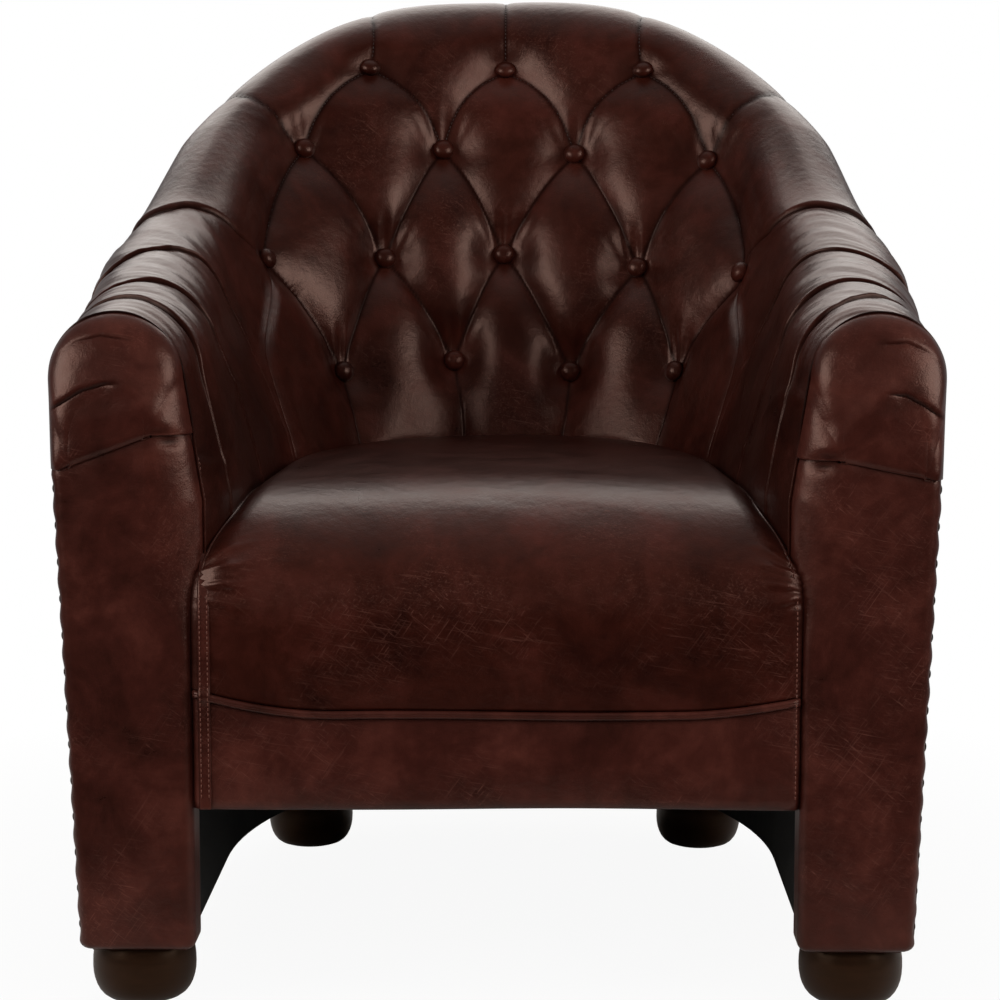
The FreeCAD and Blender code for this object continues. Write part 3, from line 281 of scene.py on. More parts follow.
# Leather: chrome tanned cowhide, aniline dyed burgundy brown and waxed so that it pulls up
# paler where it is stretched or scuffed. It gives cloudy tones, fine pale scratches and a satin shine.
def waxed_leather(name, deep, middle, pale):
    """Leather whose dye runs through three tones."""
    material = bpy.data.materials.new(name)
    material.use_nodes = True
    tree = material.node_tree
    shader = tree.nodes["Principled BSDF"]
    shader.inputs["Specular Tint"].default_value = linear("#eabcac")
    shader.inputs["Coat Weight"].default_value = 0.05
    shader.inputs["Coat Roughness"].default_value = 0.3
    place = add_node(tree, "ShaderNodeTexCoord").outputs["Object"]
    # Clouds of dye about 70 mm across, with smaller ones of 14 mm in them
    clouds = add_node(tree, "ShaderNodeTexNoise", {
        "Vector": place, "Scale": 1 / 0.07, "Detail": 6.0, "Roughness": 0.62, "Distortion": 0.6})
    flecks = add_node(tree, "ShaderNodeTexNoise", {
        "Vector": place, "Scale": 1 / 0.014, "Detail": 4.0, "Roughness": 0.6})
    tone = add_node(tree, "ShaderNodeMath", {
        0: flecks.outputs["Fac"], 1: 0.35, 2: clouds.outputs["Fac"]}, operation="MULTIPLY_ADD")
    ramp = add_node(tree, "ShaderNodeValToRGB", {"Fac": tone.outputs[0]})
    ramp.color_ramp.elements[0].position = 0.45
    ramp.color_ramp.elements[0].color = linear(deep)
    ramp.color_ramp.elements[1].position = 0.92
    ramp.color_ramp.elements[1].color = linear(pale)
    ramp.color_ramp.elements.new(0.68).color = linear(middle)
    # Scuffs: hair lines about 1 mm wide and 30 to 90 mm long, in patches, drawn wide enough to show
    patches = add_node(tree, "ShaderNodeTexNoise", {"Vector": place, "Scale": 1 / 0.09, "Detail": 2.0})
    patch = add_node(tree, "ShaderNodeMapRange", {"Value": patches.outputs["Fac"], 1: 0.44, 2: 0.62})
    thin_lines = []
    for turn, shift, length in ((0.6, 0.0, 0.09), (-0.9, 3.7, 0.03), (1.75, 8.1, 0.05)):
        laid = add_node(tree, "ShaderNodeMapping", {
            "Vector": place, "Location": (shift, shift, shift), "Rotation": (0.0, turn, 0.0),
            "Scale": (0.0011, 0.0011, length)}, vector_type="TEXTURE")
        hair = add_node(tree, "ShaderNodeTexNoise", {
            "Vector": laid.outputs["Vector"], "Scale": 1.0, "Detail": 1.0, "Distortion": 1.4})
        thin = add_node(tree, "ShaderNodeMapRange", {"Value": hair.outputs["Fac"], 1: 0.62, 2: 0.74})
        thin_lines.append(thin.outputs[0])
    scratches = thin_lines[0]
    for other in thin_lines[1:]:
        scratches = add_node(tree, "ShaderNodeMath", {0: scratches, 1: other}, operation="MAXIMUM").outputs[0]
    scuff = add_node(tree, "ShaderNodeMath", {
        0: scratches, 1: patch.outputs[0]}, operation="MULTIPLY").outputs[0]
    scuff_share = add_node(tree, "ShaderNodeMath", {0: scuff, 1: 0.25}, operation="MULTIPLY").outputs[0]
    scuffed = add_node(tree, "ShaderNodeMix", {
        "Factor": scuff_share, 6: ramp.outputs["Color"], 7: linear("#7a5046")}, data_type="RGBA").outputs[2]
    # Painted shade: folds, seams and edges are darkened towards near black by a share that each cover marks
    # in its own attribute
    painted_shade = add_node(tree, "ShaderNodeAttribute", attribute_name="painted_shade").outputs["Fac"]
    painted_shade_share = add_node(tree, "ShaderNodeMath", {0: painted_shade, 1: 0.9}, operation="MULTIPLY").outputs[0]
    painted_shade_colour = add_node(tree, "ShaderNodeMix", {
        "Factor": painted_shade_share, 6: scuffed, 7: linear("#0c0403")}, data_type="RGBA").outputs[2]
    tree.links.new(painted_shade_colour, shader.inputs["Base Color"])
    rough = add_node(tree, "ShaderNodeMapRange", {"Value": tone.outputs[0], 1: 0.4, 2: 1.0, 3: 0.26, 4: 0.40})
    tree.links.new(rough.outputs[0], shader.inputs["Roughness"])
    # Painted shade also takes most of the shine out of those places
    shine_in_painted_shade = add_node(tree, "ShaderNodeMapRange", {"Value": painted_shade, 3: 0.42, 4: 0.03})
    tree.links.new(shine_in_painted_shade.outputs[0], shader.inputs["Specular IOR Level"])
    # Pores about 1.6 mm apart and soft unevenness of the hide about 9 mm across
    pores = add_node(tree, "ShaderNodeTexVoronoi", {"Vector": place, "Scale": 1 / 0.0016})
    hide = add_node(tree, "ShaderNodeTexNoise", {"Vector": place, "Scale": 1 / 0.009, "Detail": 3.0})
    fine = add_node(tree, "ShaderNodeBump", {
        "Height": pores.outputs["Distance"], "Strength": 0.18, "Distance": 0.0004})
    soft = add_node(tree, "ShaderNodeBump", {
        "Height": hide.outputs["Fac"], "Strength": 0.35, "Distance": 0.0012,
        "Normal": fine.outputs["Normal"]})
    tree.links.new(soft.outputs["Normal"], shader.inputs["Normal"])
    return material


leather = waxed_leather("waxed_burgundy_leather", "#1f0906", "#2e100a", "#3f1913")
# Arm fronts and band get a paler, greyer copy of the leather: painted sheen for the soft grey shine of these
# forward-facing pieces
sheen_painted_leather = waxed_leather("burgundy_leather_painted_sheen", "#260f0b", "#371712", "#4b241d")
LEATHER_THICKNESS = 0.002


def leather_sheet(name, across, up, shape, slot_nodes, thick=True, hide=leather):
    """Leather cover from a grid of cells: shape gives each grid point its place and its share of painted
    shade.
    """
    bm = bmesh.new()
    bmesh.ops.create_grid(bm, x_segments=across, y_segments=up, size=0.5)
    mesh = bpy.data.meshes.new(name)
    bm.to_mesh(mesh)
    bm.free()
    flat = np.empty(len(mesh.vertices) * 3, np.float32)
    mesh.vertices.foreach_get("co", flat)
    flat = flat.reshape(-1, 3).astype(float)
    places, painted_shades = shape(flat[:, 0] + 0.5, flat[:, 1] + 0.5)
    mesh.vertices.foreach_set("co", places.astype(np.float32).ravel())
    mesh.attributes.new("painted_shade", "FLOAT", "POINT").data.foreach_set("value", painted_shades.astype(np.float32))
    mesh.update()
    piece = finished_piece(name, mesh, hide, "leather", *slot_nodes)
    if thick:
        thickness = piece.modifiers.new("leather_thickness", "SOLIDIFY")
        thickness.thickness = LEATHER_THICKNESS
        thickness.offset = -1.0


# Outside covers: plain leather over the hardboard, in three lengths joined at the side posts.
# Their lower edge is turned under the hoop, and their top goes up under the edge of the roll.
ROLL_DROP = 0.050
ROLL_LIP = 0.119
ROLL_TUCK = 0.012
SIDE_SEAM = 0.330
SEAM_SINK = 0.0016
TURN_UNDER = 0.014
COVER_WAVE = 0.0012


def outside_cover(start, end):
    """Cover between two distances along the wall, with a sunk seam at each end."""
    def shape(u, v):
        s = start + (end - start) * u
        length = rim(s) - ROLL_LIP + ROLL_TUCK - BASE_Z
        run = v * (length + TURN_UNDER) - TURN_UNDER
        z = BASE_Z + np.maximum(run, 0.0)
        under = np.maximum(-run, 0.0)
        soft = COVER_WAVE * np.sin(9 * s + 1.3) * np.sin(11 * z + 0.5)
        near_seam = np.minimum(np.abs(s - start), np.abs(s - end))
        seam = SEAM_SINK * np.exp(-(near_seam / 0.006) ** 2)
        out = WALL_OUTER + lean(s, z) + soft - seam - under
        round_low = 0.004 * np.clip(1 - np.abs(run) / 0.006, 0.0, 1.0) ** 2
        # Painted shade darkens the sunk seams
        return wall_point(s, out - round_low, z), 0.6 * np.exp(-(near_seam / 0.003) ** 2)
    return shape


leather_sheet("outside_back_cover", 120, 120, outside_cover(-SIDE_SEAM, SIDE_SEAM), ["outside_cover_back"])
leather_sheet("outside_cover_right", 90, 90, outside_cover(SIDE_SEAM, PAD_END), ["outside_cover_right"])
leather_sheet("outside_cover_left", 90, 90, outside_cover(-PAD_END, -SIDE_SEAM), ["outside_cover_left"])


# Inside back and arms: one padded skin, buttoned in diamonds on the back and laid in pleats on the arms.
# It comes up from behind the seat, over the roll and down to a blind-tacked edge outside.
SKIN_LOW = 0.400
SKIN_FRONT = 0.7766
SKIN_BELOW_SEAT = 0.075
LIP_TURN = 0.010
LIP_OVERHANG = 0.003
ROLL_OVERHANG = 0.005


def profile_lengths(s):
    """Lengths of the inside face and the roll at a station, and where the roll starts and ends."""
    level = rim(s) - ROLL_DROP
    inside = pad_face(s, level)
    outside = WALL_OUTER + lean(s, level) + ROLL_OVERHANG * (1 - eased(np.abs(s), 0.48, 0.70))
    half = (outside - inside) / 2
    roll = math.pi * np.sqrt((half ** 2 + ROLL_DROP ** 2) / 2)
    return level - SKIN_LOW, roll, level, inside, outside, half


def skin_length(s):
    """Length of the skin from the height SKIN_LOW over the roll to its turned edge."""
    face, roll = profile_lengths(s)[:2]
    return face + roll + ROLL_LIP - ROLL_DROP + LIP_TURN


def low_reach(s):
    """How far the skin goes on down beside the seat's front corners."""
    return SKIN_BELOW_SEAT * eased(np.abs(s), 0.52, 0.74)


def skin_run(s, v):
    """Distance up the skin at a share v of its whole length."""
    return v * (skin_length(s) + low_reach(s)) - low_reach(s)


def skin_share(s, run):
    """Share v of the skin's whole length at a distance up the skin."""
    return (run + low_reach(s)) / (skin_length(s) + low_reach(s))


def skin_base(s, run):
    """Place on the plain skin: run is measured up the face from the height SKIN_LOW."""
    face, roll, level, inside, outside, half = profile_lengths(s)
    drop = ROLL_LIP - ROLL_DROP
    at_front = eased(np.abs(s), 0.50, 0.72)
    lip = WALL_OUTER + lean(s, level - drop) + LIP_OVERHANG * (1 - at_front)
    rake = (pad_face(s, level) - pad_face(s, level - 0.01)) / 0.01
    slant = rake * ROLL_DROP / half
    start = np.arctan(slant / (1 - slant))
    angle = start + (math.pi - start) * np.clip((run - face) / roll, 0.0, 1.0)
    widen = 2 / (1 + np.cos(start))
    lift = np.where(angle < math.pi / 2, (np.sin(angle) - np.sin(start)) / (1 - np.sin(start)), np.sin(angle))
    down = np.clip((run - face - roll) / drop, 0.0, 1.0)
    turned_in = np.maximum(run - face - roll - drop, 0.0)
    z_face = SKIN_LOW + np.minimum(run, face)
    on_roll = run > face
    z = np.where(on_roll, level + ROLL_DROP * lift - drop * down + 0.3 * turned_in, z_face)
    out = np.where(on_roll, inside + half * widen * (np.cos(start) - np.cos(angle)), pad_face(s, z_face))
    bulge = 0.002 * np.sin(math.pi * down) * (1 - at_front)
    out = out + np.where(down > 0, (lip - outside) * down + bulge - turned_in, 0.0)
    return wall_point(s, out, z)


# True widths on the padded face are less than along the wall's middle line, because it curves
FACE_INSET = 0.085
width_steps = np.linspace(0.0, 0.85, 341)
width_turn = np.where(width_steps <= BACK_RUN, 1 / BACK_RADIUS, np.where(
    width_steps <= CORNER_RUN, 1 / CORNER_RADIUS, np.where(width_steps <= CURVE_RUN, 1 / SIDE_RADIUS, 0.0)))
width_share = 1 - FACE_INSET * width_turn
width_parts = (width_share[1:] + width_share[:-1]) / 2 * np.diff(width_steps)
true_widths = np.concatenate([[0.0], np.cumsum(width_parts)])


def true_width(s):
    """Width on the padded face from the middle of the back."""
    return np.sign(s) * np.interp(np.abs(s), width_steps, true_widths)


def crest_run(s):
    """Distance up the skin to the crest of the roll."""
    face, roll = profile_lengths(s)[:2]
    return float(face + roll / 2)


def lip_run(s):
    """Distance up the skin to the lower edge of the roll outside."""
    face, roll = profile_lengths(s)[:2]
    return float(face + roll + ROLL_LIP - ROLL_DROP)


# Buttons in four rows: distance along the wall, height, and how deep they are drawn in
BUTTONS = [
    [(-0.1385, 0.797, 0.006), (0.0, 0.796, 0.006), (0.141, 0.795, 0.006)],
    [(-0.220, 0.7165, 0.007), (-0.0655, 0.7155, 0.008), (0.0745, 0.711, 0.008), (0.2265, 0.704, 0.007)],
    [(-0.330, 0.606, 0.001), (-0.1415, 0.6065, 0.009), (-0.001, 0.6095, 0.009), (0.162, 0.5975, 0.009),
     (0.350, 0.592, 0.001)],
    [(-0.240, 0.496, 0.007), (-0.063, 0.504, 0.009), (0.084, 0.4935, 0.009), (0.264, 0.497, 0.006)],
]
# Folds of the tufting between buttons of neighbouring rows; the upper ones arch out before they fall
FOLD_BOWS = (0.017, 0.004, 0.003)
tuft_folds = []
stitched_lines = []
for row, links in enumerate((((0, 0), (0, 1), (1, 1), (1, 2), (2, 2), (2, 3)),
                             ((0, 0), (0, 1), (1, 1), (1, 2), (2, 2), (2, 3), (3, 3), (3, 4)),
                             ((0, 0), (1, 0), (1, 1), (2, 1), (2, 2), (3, 2), (3, 3), (4, 3)))):
    for upper, lower in links:
        first, last = np.array(BUTTONS[row][upper][:2]), np.array(BUTTONS[row + 1][lower][:2])
        bow = FOLD_BOWS[row] * np.sign(last[0] - first[0])
        line = []
        for t in np.linspace(0.0, 1.0, 7):
            point = first + (last - first) * t + np.array([bow * math.sin(math.pi * t ** 0.75), 0.0])
            line.append((point[0], point[1] - SKIN_LOW))
        tuft_folds.append(line)
        if row == 0 or (row == 1 and (upper, lower) in ((0, 0), (3, 4))):
            stitched_lines.append(line)
# Longer, softer folds fall from the last row to the seat
FIRST_FALLING_FOLD = len(tuft_folds)
for (s, z, _), end in zip(BUTTONS[3], (-0.262, -0.056, 0.078, 0.292)):
    tuft_folds.append([(s, z - SKIN_LOW), ((s + end) / 2 + 0.003, 0.055), (end, 0.0)])
# Seams up over the roll from the first row and from the ends of the second
roll_seams = []
for s, z, _ in BUTTONS[0]:
    roll_seams.append([(s, z - SKIN_LOW), (0.88 * s, crest_run(s)), (0.87 * s, lip_run(s))])
for (s, z, _), side in ((BUTTONS[1][0], -1), (BUTTONS[1][3], 1)):
    roll_seams.append([
        (s, z - SKIN_LOW), (side * 0.239, 0.333), (side * 0.252, 0.360), (side * 0.254, 0.385),
        (side * 0.250, crest_run(0.250)), (side * 0.246, lip_run(0.246))])
stitched_lines += roll_seams


# Sharp corners of a drawn line are rounded by a mean over this much of the skin's length
LINE_SHIFTS = np.linspace(-0.03, 0.03, 7)


def station_line(points, lip):
    """Function that gives the distance along the wall at a share v of the skin's length, for a line of
    (s, run) points that ends over the outer edge of the roll at the distance lip."""
    ends = [(lip, lip_run(lip)), (lip, lip_run(lip) + LIP_TURN)]
    knots = np.array(sorted((float(skin_share(s, run)), s) for s, run in [*points, *ends]))

    def station(v):
        return np.mean([np.interp(v + shift, knots[:, 0], knots[:, 1]) for shift in LINE_SHIFTS], axis=0)
    return station


# Edge between the back and each arm: up the last fold of the back, then along the first pleat over the roll.
# The other three pleats run from the outside edge over the crest and down the inside to the seat.
edge_station = station_line((
    (0.472, 0.0), (0.463, 0.062), (0.448, 0.120), (0.405, 0.146), (0.356, 0.176), (0.335, 0.202),
    (0.372, 0.222), (0.408, 0.243), (0.422, 0.266), (0.424, crest_run(0.424)),
    (0.420, crest_run(0.42) + 0.05)), 0.410)
second_pleat = station_line((
    (0.472, 0.020), (0.468, 0.100), (0.476, 0.140), (0.500, 0.185), (0.530, 0.228),
    (0.538, crest_run(0.538)), (0.548, 0.285)), 0.552)
third_pleat = station_line((
    (0.600, -0.02), (0.606, 0.05), (0.622, 0.120), (0.638, 0.165), (0.640, 0.195),
    (0.637, crest_run(0.637)), (0.648, 0.262)), 0.655)
fourth_pleat = station_line((
    (0.728, -0.06), (0.738, 0.05), (0.742, 0.124), (0.733, 0.177), (0.712, 0.212),
    (0.702, crest_run(0.702)), (0.696, 0.250)), 0.700)
PLEAT_GAP = 0.006


def pleat_stations(v):
    """Distances along the wall to the four pleats, which keep apart where they draw together."""
    edge = edge_station(v)
    second = np.maximum(second_pleat(v), edge + PLEAT_GAP)
    third = np.maximum(third_pleat(v), second + PLEAT_GAP)
    return edge, second, third, fourth_pleat(v)


# Start value for the search for the nearest line: far past any size of the chair
FAR = 9.0


def line_distance(width, run, line):
    """Distance from each skin point to a line of (s, run) points."""
    nearest = np.full(width.shape, FAR)
    ends = [(float(true_width(np.array(s))), float(r)) for s, r in line]
    for (ax, ay), (bx, by) in zip(ends, ends[1:]):
        dx, dy = bx - ax, by - ay
        t = np.clip(((width - ax) * dx + (run - ay) * dy) / (dx * dx + dy * dy), 0.0, 1.0)
        nearest = np.minimum(nearest, np.hypot(width - ax - t * dx, run - ay - t * dy))
    return nearest


# Depths of the tufting and the pleats
VALLEY = 0.005
GATHERS = (0.0, 0.0008, 0.0014, 0.0015)
FOLD_WIDTH = 0.023
FALLING_FOLD_WIDTH = 0.034
SEAM_DEPTH = 0.0022
PLEAT_STEPS = (0.0022, 0.0021, 0.0020, 0.0020)
PLEAT_ROUND = 0.0032
EDGE_BUTTON = (0.338, 0.200)
EDGE_BLEND = 0.028


def tufting(s, run, upper):
    """Relief of the buttoned back, and its share of painted shade along the folds and seams."""
    width = true_width(s)
    valley = np.full(s.shape, VALLEY)
    pocket = np.full(s.shape, FAR)
    gathers = np.zeros(s.shape)
    for row, spots in enumerate(BUTTONS):
        for column, (button_s, button_z, sink) in enumerate(spots):
            dx = width - float(true_width(np.array(button_s)))
            dy = run - (button_z - SKIN_LOW)
            away = np.hypot(dx, dy)
            valley = np.maximum(valley, VALLEY + sink * np.exp(-(away / 0.032) ** 2))
            pocket = np.minimum(pocket, away)
            # Short gathers fan out above each button, where the leather is drawn in
            fan = np.cos(dx / (0.0009 + 0.042 * np.maximum(dy, 0.0)) + 0.9 * column + row)
            spread = np.exp(-(dx / (0.010 + 0.35 * np.maximum(dy, 0.0))) ** 2)
            height = 0.0 if sink < 0.006 else GATHERS[row]
            gathers += height * fan * spread * np.exp(-((dy - 0.024) / 0.017) ** 2)
    rise = np.ones(s.shape)
    painted_shade = np.zeros(s.shape)
    # Painted shade darkens the fold lines and the roll seams towards near black
    for number, line in enumerate(tuft_folds):
        away = line_distance(width, run, line)
        rise *= np.tanh(away / (FOLD_WIDTH if number < FIRST_FALLING_FOLD else FALLING_FOLD_WIDTH)) ** 0.85
        painted_shade = np.maximum(painted_shade, 0.9 * np.exp(-(away / 0.0019) ** 2))
    seam = np.zeros(s.shape)
    for line in roll_seams:
        away = line_distance(width, run, line)
        seam = np.maximum(seam, np.exp(-away / 0.0035))
        painted_shade = np.maximum(painted_shade, 0.85 * np.exp(-(away / 0.0017) ** 2))
    rise *= 0.15 + 0.85 * np.tanh(pocket / 0.018)
    crown = 0.0055 + 0.0075 * eased(0.74 - SKIN_LOW - run, 0.0, 0.13)
    return -valley + (valley + crown * (1 - upper)) * rise - SEAM_DEPTH * seam + gathers, painted_shade


def pleating(s, run, upper):
    """Relief of the pleats on the arms, and its share of painted shade."""
    front = SKIN_FRONT - np.abs(s)
    stations = [*pleat_stations(skin_share(s, run)), np.full(s.shape, SKIN_FRONT)]
    at_button = np.exp(-(np.hypot(np.abs(s) - EDGE_BUTTON[0], run - EDGE_BUTTON[1]) / 0.034) ** 2)
    step = np.zeros(s.shape)
    painted_shade = np.zeros(s.shape)
    # Each pleat laps over the next one in front of it: a rolled edge, then a step down
    for number, station in enumerate(stations[:-1]):
        past = true_width(np.abs(s)) - true_width(station)
        height = PLEAT_STEPS[number] * (0.3 + 0.7 * upper)
        if number == 0:
            height = height * (1 - at_button) * (0.35 + 0.65 * upper)
        if number == 1:
            height = height * eased(run, 0.08, 0.16)
        step -= height * np.tanh(past / 0.0008) * np.exp(-np.abs(past) / np.where(past < 0, 0.014, 0.024))
        groove = np.exp(-((past - 0.0006) / 0.0014) ** 2)
        step -= 0.0010 * groove * (0.3 + 0.7 * upper)
        # Painted shade darkens the groove of each pleat
        painted_shade = np.maximum(painted_shade, 0.95 * groove * (0.25 + height / 0.0028))
    step -= 0.0012 * np.exp(-front / 0.0025)
    # Between two pleats the leather is rounded over its own padding
    for first, last in zip(stations, stations[1:]):
        share = np.clip((np.abs(s) - first) / (last - first), 0.0, 1.0)
        rounded = PLEAT_ROUND * np.sin(math.pi * share) ** (1.5 - 0.6 * upper)
        step += rounded * (0.35 + 0.65 * upper) * eased(last - first, 0.01, 0.06)
    # Painted shade darkens the front end of the skin beside the arm seam
    painted_shade = np.maximum(painted_shade, 0.7 * np.exp(-((front - 0.0004) / 0.0016) ** 2))
    # Painted shade darkens the inside of the arms below the roll
    return step, np.maximum(painted_shade, 0.5 * (1 - upper) * eased(np.abs(s), 0.40, 0.54))


def skin_relief(s, run):
    """How far the skin stands out from the plain padding, and its share of painted shade."""
    width = true_width(s)
    face, roll = profile_lengths(s)[:2]
    edge = edge_station(skin_share(s, run))
    on_back = eased(edge + EDGE_BLEND - np.abs(s), 0.0, 2 * EDGE_BLEND)
    outer = eased(run, face + 0.5 * roll, face + 0.85 * roll) * eased(np.abs(s), 0.50, 0.72)
    upper = eased(run, face - 0.05, face + 0.05)
    low = eased(run, -low_reach(s) - 0.01, 0.03)
    back, back_painted_shade = tufting(s, run, upper)
    step, arm_painted_shade = pleating(s, run, upper)
    front = np.maximum(SKIN_FRONT - np.abs(s), 0.0)
    arm = 0.003 * np.sin(math.pi * np.clip(run / face, 0.0, 1.0)) * (1 - np.exp(-front / 0.025))
    creases = 0.0005 * np.sin(120 * width + 14 * np.sin(9 * run) + 3 * np.sign(s)) * upper
    creases += 0.00016 * np.sin(700 * width + 30 * np.sin(11 * run)) * upper
    creases += 0.0003 * np.sin(260 * width + 21 * np.sin(7 * run + 1.0)) * upper
    # Small folds lie across the inside of the arms, low down beside the seat
    across = 0.0012 * np.exp(-((run - 0.075 - 0.03 * np.sin(23 * width)) / 0.006) ** 2) * (1 - upper)
    waves = 0.0010 * np.sin(31 * width + 17 * run + 1.1) * np.sin(23 * run - 13 * width + 0.4)
    relief = back * on_back + (arm + creases + across) * (1 - on_back) + step * (1 - outer) + waves
    return relief * low, np.maximum(back_painted_shade, arm_painted_shade) * low


def skin_place(s, run):
    """Finished surface of the skin, its share of painted shade, and the direction in which it faces."""
    step = 0.0005
    base = skin_base(s, run)
    over = skin_base(s + step, run) - skin_base(s - step, run)
    up = skin_base(s, run + step) - skin_base(s, run - step)
    facing = np.cross(over, up)
    facing /= np.linalg.norm(facing, axis=-1, keepdims=True)
    relief, painted_shade = skin_relief(s, run)
    relief = relief * (1 - eased(run / skin_length(s), 0.90, 0.98))
    return base + facing * relief[..., None], painted_shade, facing


def back_shape(u, v):
    """Back skin from one edge line to the other."""
    s = edge_station(v) * (2 * u - 1)
    return skin_place(s, skin_run(s, v))[:2]


# How strongly the columns of cells draw together along a pleat
CELL_PULL = 0.85


def arm_shape(side):
    """Arm skin whose columns of cells follow the pleats and lie closest along them."""
    def shape(u, v):
        share = 4 * (u if side > 0 else 1 - u)
        band = np.clip(share.astype(int), 0, 3)
        t = share - band
        t = t - CELL_PULL / (2 * math.pi) * np.sin(2 * math.pi * t)
        stations = np.stack([*pleat_stations(v), np.full(v.shape, SKIN_FRONT)])
        columns = np.arange(len(v))
        s = side * (stations[band, columns] * (1 - t) + stations[band + 1, columns] * t)
        return skin_place(s, skin_run(s, v))[:2]
    return shape


SIDES = ((1, "right"), (-1, "left"))
leather_sheet("inside_back_cover", 290, 320, back_shape, ["back_cover", "back_foam"], thick=False)
for side, hand in SIDES:
    leather_sheet("inside_arm_cover_" + hand, 224, 140, arm_shape(side),
                  ["arm_cover_" + hand, "arm_foam_" + hand])


# Buttons: sixteen domed steel shells covered in the same leather, about 21 mm across.
# Each is drawn in with twine through the padding, so that it sits in a pocket of the back.
BUTTON_LIFT = 0.0042
BUTTON_TILTS = (1.1, 0.15, 0.05, 0.0)
button_outline = [(0.0, 0.0072), (0.0030, 0.0070), (0.0058, 0.0062), (0.0082, 0.0046), (0.0098, 0.0024),
                  (0.0104, 0.0002), (0.0100, -0.0018), (0.0084, -0.0032), (0.0070, -0.0060), (0.0, -0.0062)]


def joined_copies(name, shape, places):
    """One mesh of many copies of a small shape, each moved by its own matrix."""
    bm = bmesh.new()
    for place in places:
        copy = shape.copy()
        copy.transform(place)
        bm.from_mesh(copy)
        bpy.data.meshes.remove(copy)
    mesh = bpy.data.meshes.new(name)
    bm.to_mesh(mesh)
    bm.free()
    return mesh


button_places = []
for row, spots in enumerate(BUTTONS):
    for s, z, _ in spots:
        centre, _, facing = skin_place(np.array([s]), np.array([z - SKIN_LOW]))
        # The first row is pulled back under the roll, so its buttons look upwards
        axis = (Vector(facing[0]) + Vector((0, 0, BUTTON_TILTS[row]))).normalized()
        aim = axis.to_track_quat("Z", "Y").to_matrix().to_4x4()
        button_places.append(Matrix.Translation(Vector(centre[0]) + axis * BUTTON_LIFT) @ aim)
button_mesh = joined_copies("tuft_buttons_covered", turned("button", button_outline, 28), button_places)
finished_piece("tuft_buttons_covered", button_mesh, leather, "leather", "tuft_buttons")


# Arm seams: a thin rolled seam of the same leather joins the front end of each arm skin to its cap.
# The two edges are sewn together and rolled over into a raised line beside the cap, darkened with painted
# shade.
ARM_SEAM_RADIUS = 0.0015
ARM_SEAM_START = -0.04


def arm_seam_shape(side):
    """Round seam that stands up from the front end of the arm skin, most beside the cap."""
    def shape(u, v):
        s = np.full(u.shape, side * SKIN_FRONT)
        run = ARM_SEAM_START + (lip_run(SKIN_FRONT) + 0.03) * u
        facing = skin_place(s, run)[2]
        angle = side * 2 * math.pi * v
        crest = crest_run(SKIN_FRONT)
        at_cap = eased(run, 0.05, 0.09) * (1 - eased(run, crest + 0.015, crest + 0.055))
        lift = 0.0009 + 0.0013 * at_cap + ARM_SEAM_RADIUS * np.sin(angle)
        ahead = 0.0006 + 0.0016 * at_cap + ARM_SEAM_RADIUS * np.cos(angle)
        places = skin_base(s, run) + facing * lift[:, None]
        places[:, 1] -= ahead
        # Painted shade: darker all along, darkest beside the cap
        return places, 0.30 + 0.65 * at_cap
    return shape


for side, hand in SIDES:
    leather_sheet("arm_seam_" + hand, 160, 10, arm_seam_shape(side), [], thick=False)


# Arm caps: a domed leather piece over the front end of each arm roll, gathered at its inner corner
# and sewn to the facing along a seam that rises inwards. The slack lies in two tucks at the outer edge.
# Caps and facings stand out a little past the outside covers
FRONT_OVERHANG = 0.0012
CAP_REAR_Y = -0.352
CAP_FRONT_Y = -0.3782
CAP_ROUND = 0.058
# Share of the cap's length that wraps round from the arm to its front
CAP_WRAP = 0.42
SEAMS = {-1: (0.475, 0.4475), 1: (0.4555, 0.4400)}
CAP_TUCKS = {
    -1: [[(0.358, 0.534), (0.334, 0.5496), (0.3147, 0.5544), (0.286, 0.5500)],
         [(0.358, 0.494), (0.330, 0.5115), (0.3106, 0.5171), (0.2955, 0.5179)]],
    1: [[(0.362, 0.529), (0.340, 0.543), (0.3256, 0.5495), (0.300, 0.5480)],
        [(0.362, 0.484), (0.340, 0.500), (0.3256, 0.508), (0.3076, 0.510)]]}
CAP_RIDGES = {-1: [(0.2955, 0.5155), (0.2791, 0.4956), (0.2655, 0.4770)],
              1: [(0.3070, 0.5080), (0.2850, 0.4830), (0.2680, 0.4610)]}


def cap_arch(u, side):
    """Outline of the cap across the arm, from the inner end of the seam over the crest to the outer end."""
    low_in, low_out = SEAMS[side]
    s = np.full(u.shape, SKIN_FRONT)
    roll, level, inside, outside, half = profile_lengths(s)[1:]
    low_inner = pad_face(s, np.full(u.shape, low_in))
    low_outer = WALL_OUTER + lean(s, np.full(u.shape, low_out)) + FRONT_OVERHANG
    side_in = level - low_in
    side_out = level - low_out
    run = u * (side_in + roll + side_out)
    angle = math.pi * np.clip((run - side_in) / roll, 0.0, 1.0)
    fall = np.clip((run - side_in - roll) / side_out, 0.0, 1.0)
    climb = np.clip(run / side_in, 0.0, 1.0)
    out = (inside + outside) / 2 - half * np.cos(angle)
    out = out + np.where(climb < 1, (low_inner - inside) * (1 - climb), 0.0) + (low_outer - outside) * fall
    z = level + ROLL_DROP * np.sin(angle) - side_out * fall - side_in * (1 - climb)
    return HALF_WIDTH + out, z


def seam_ends(side):
    """Distances from the middle of the chair to both ends of the seam between cap and facing."""
    return cap_arch(np.zeros(1), side)[0][0] + 0.030, cap_arch(np.ones(1), side)[0][0] - 0.008


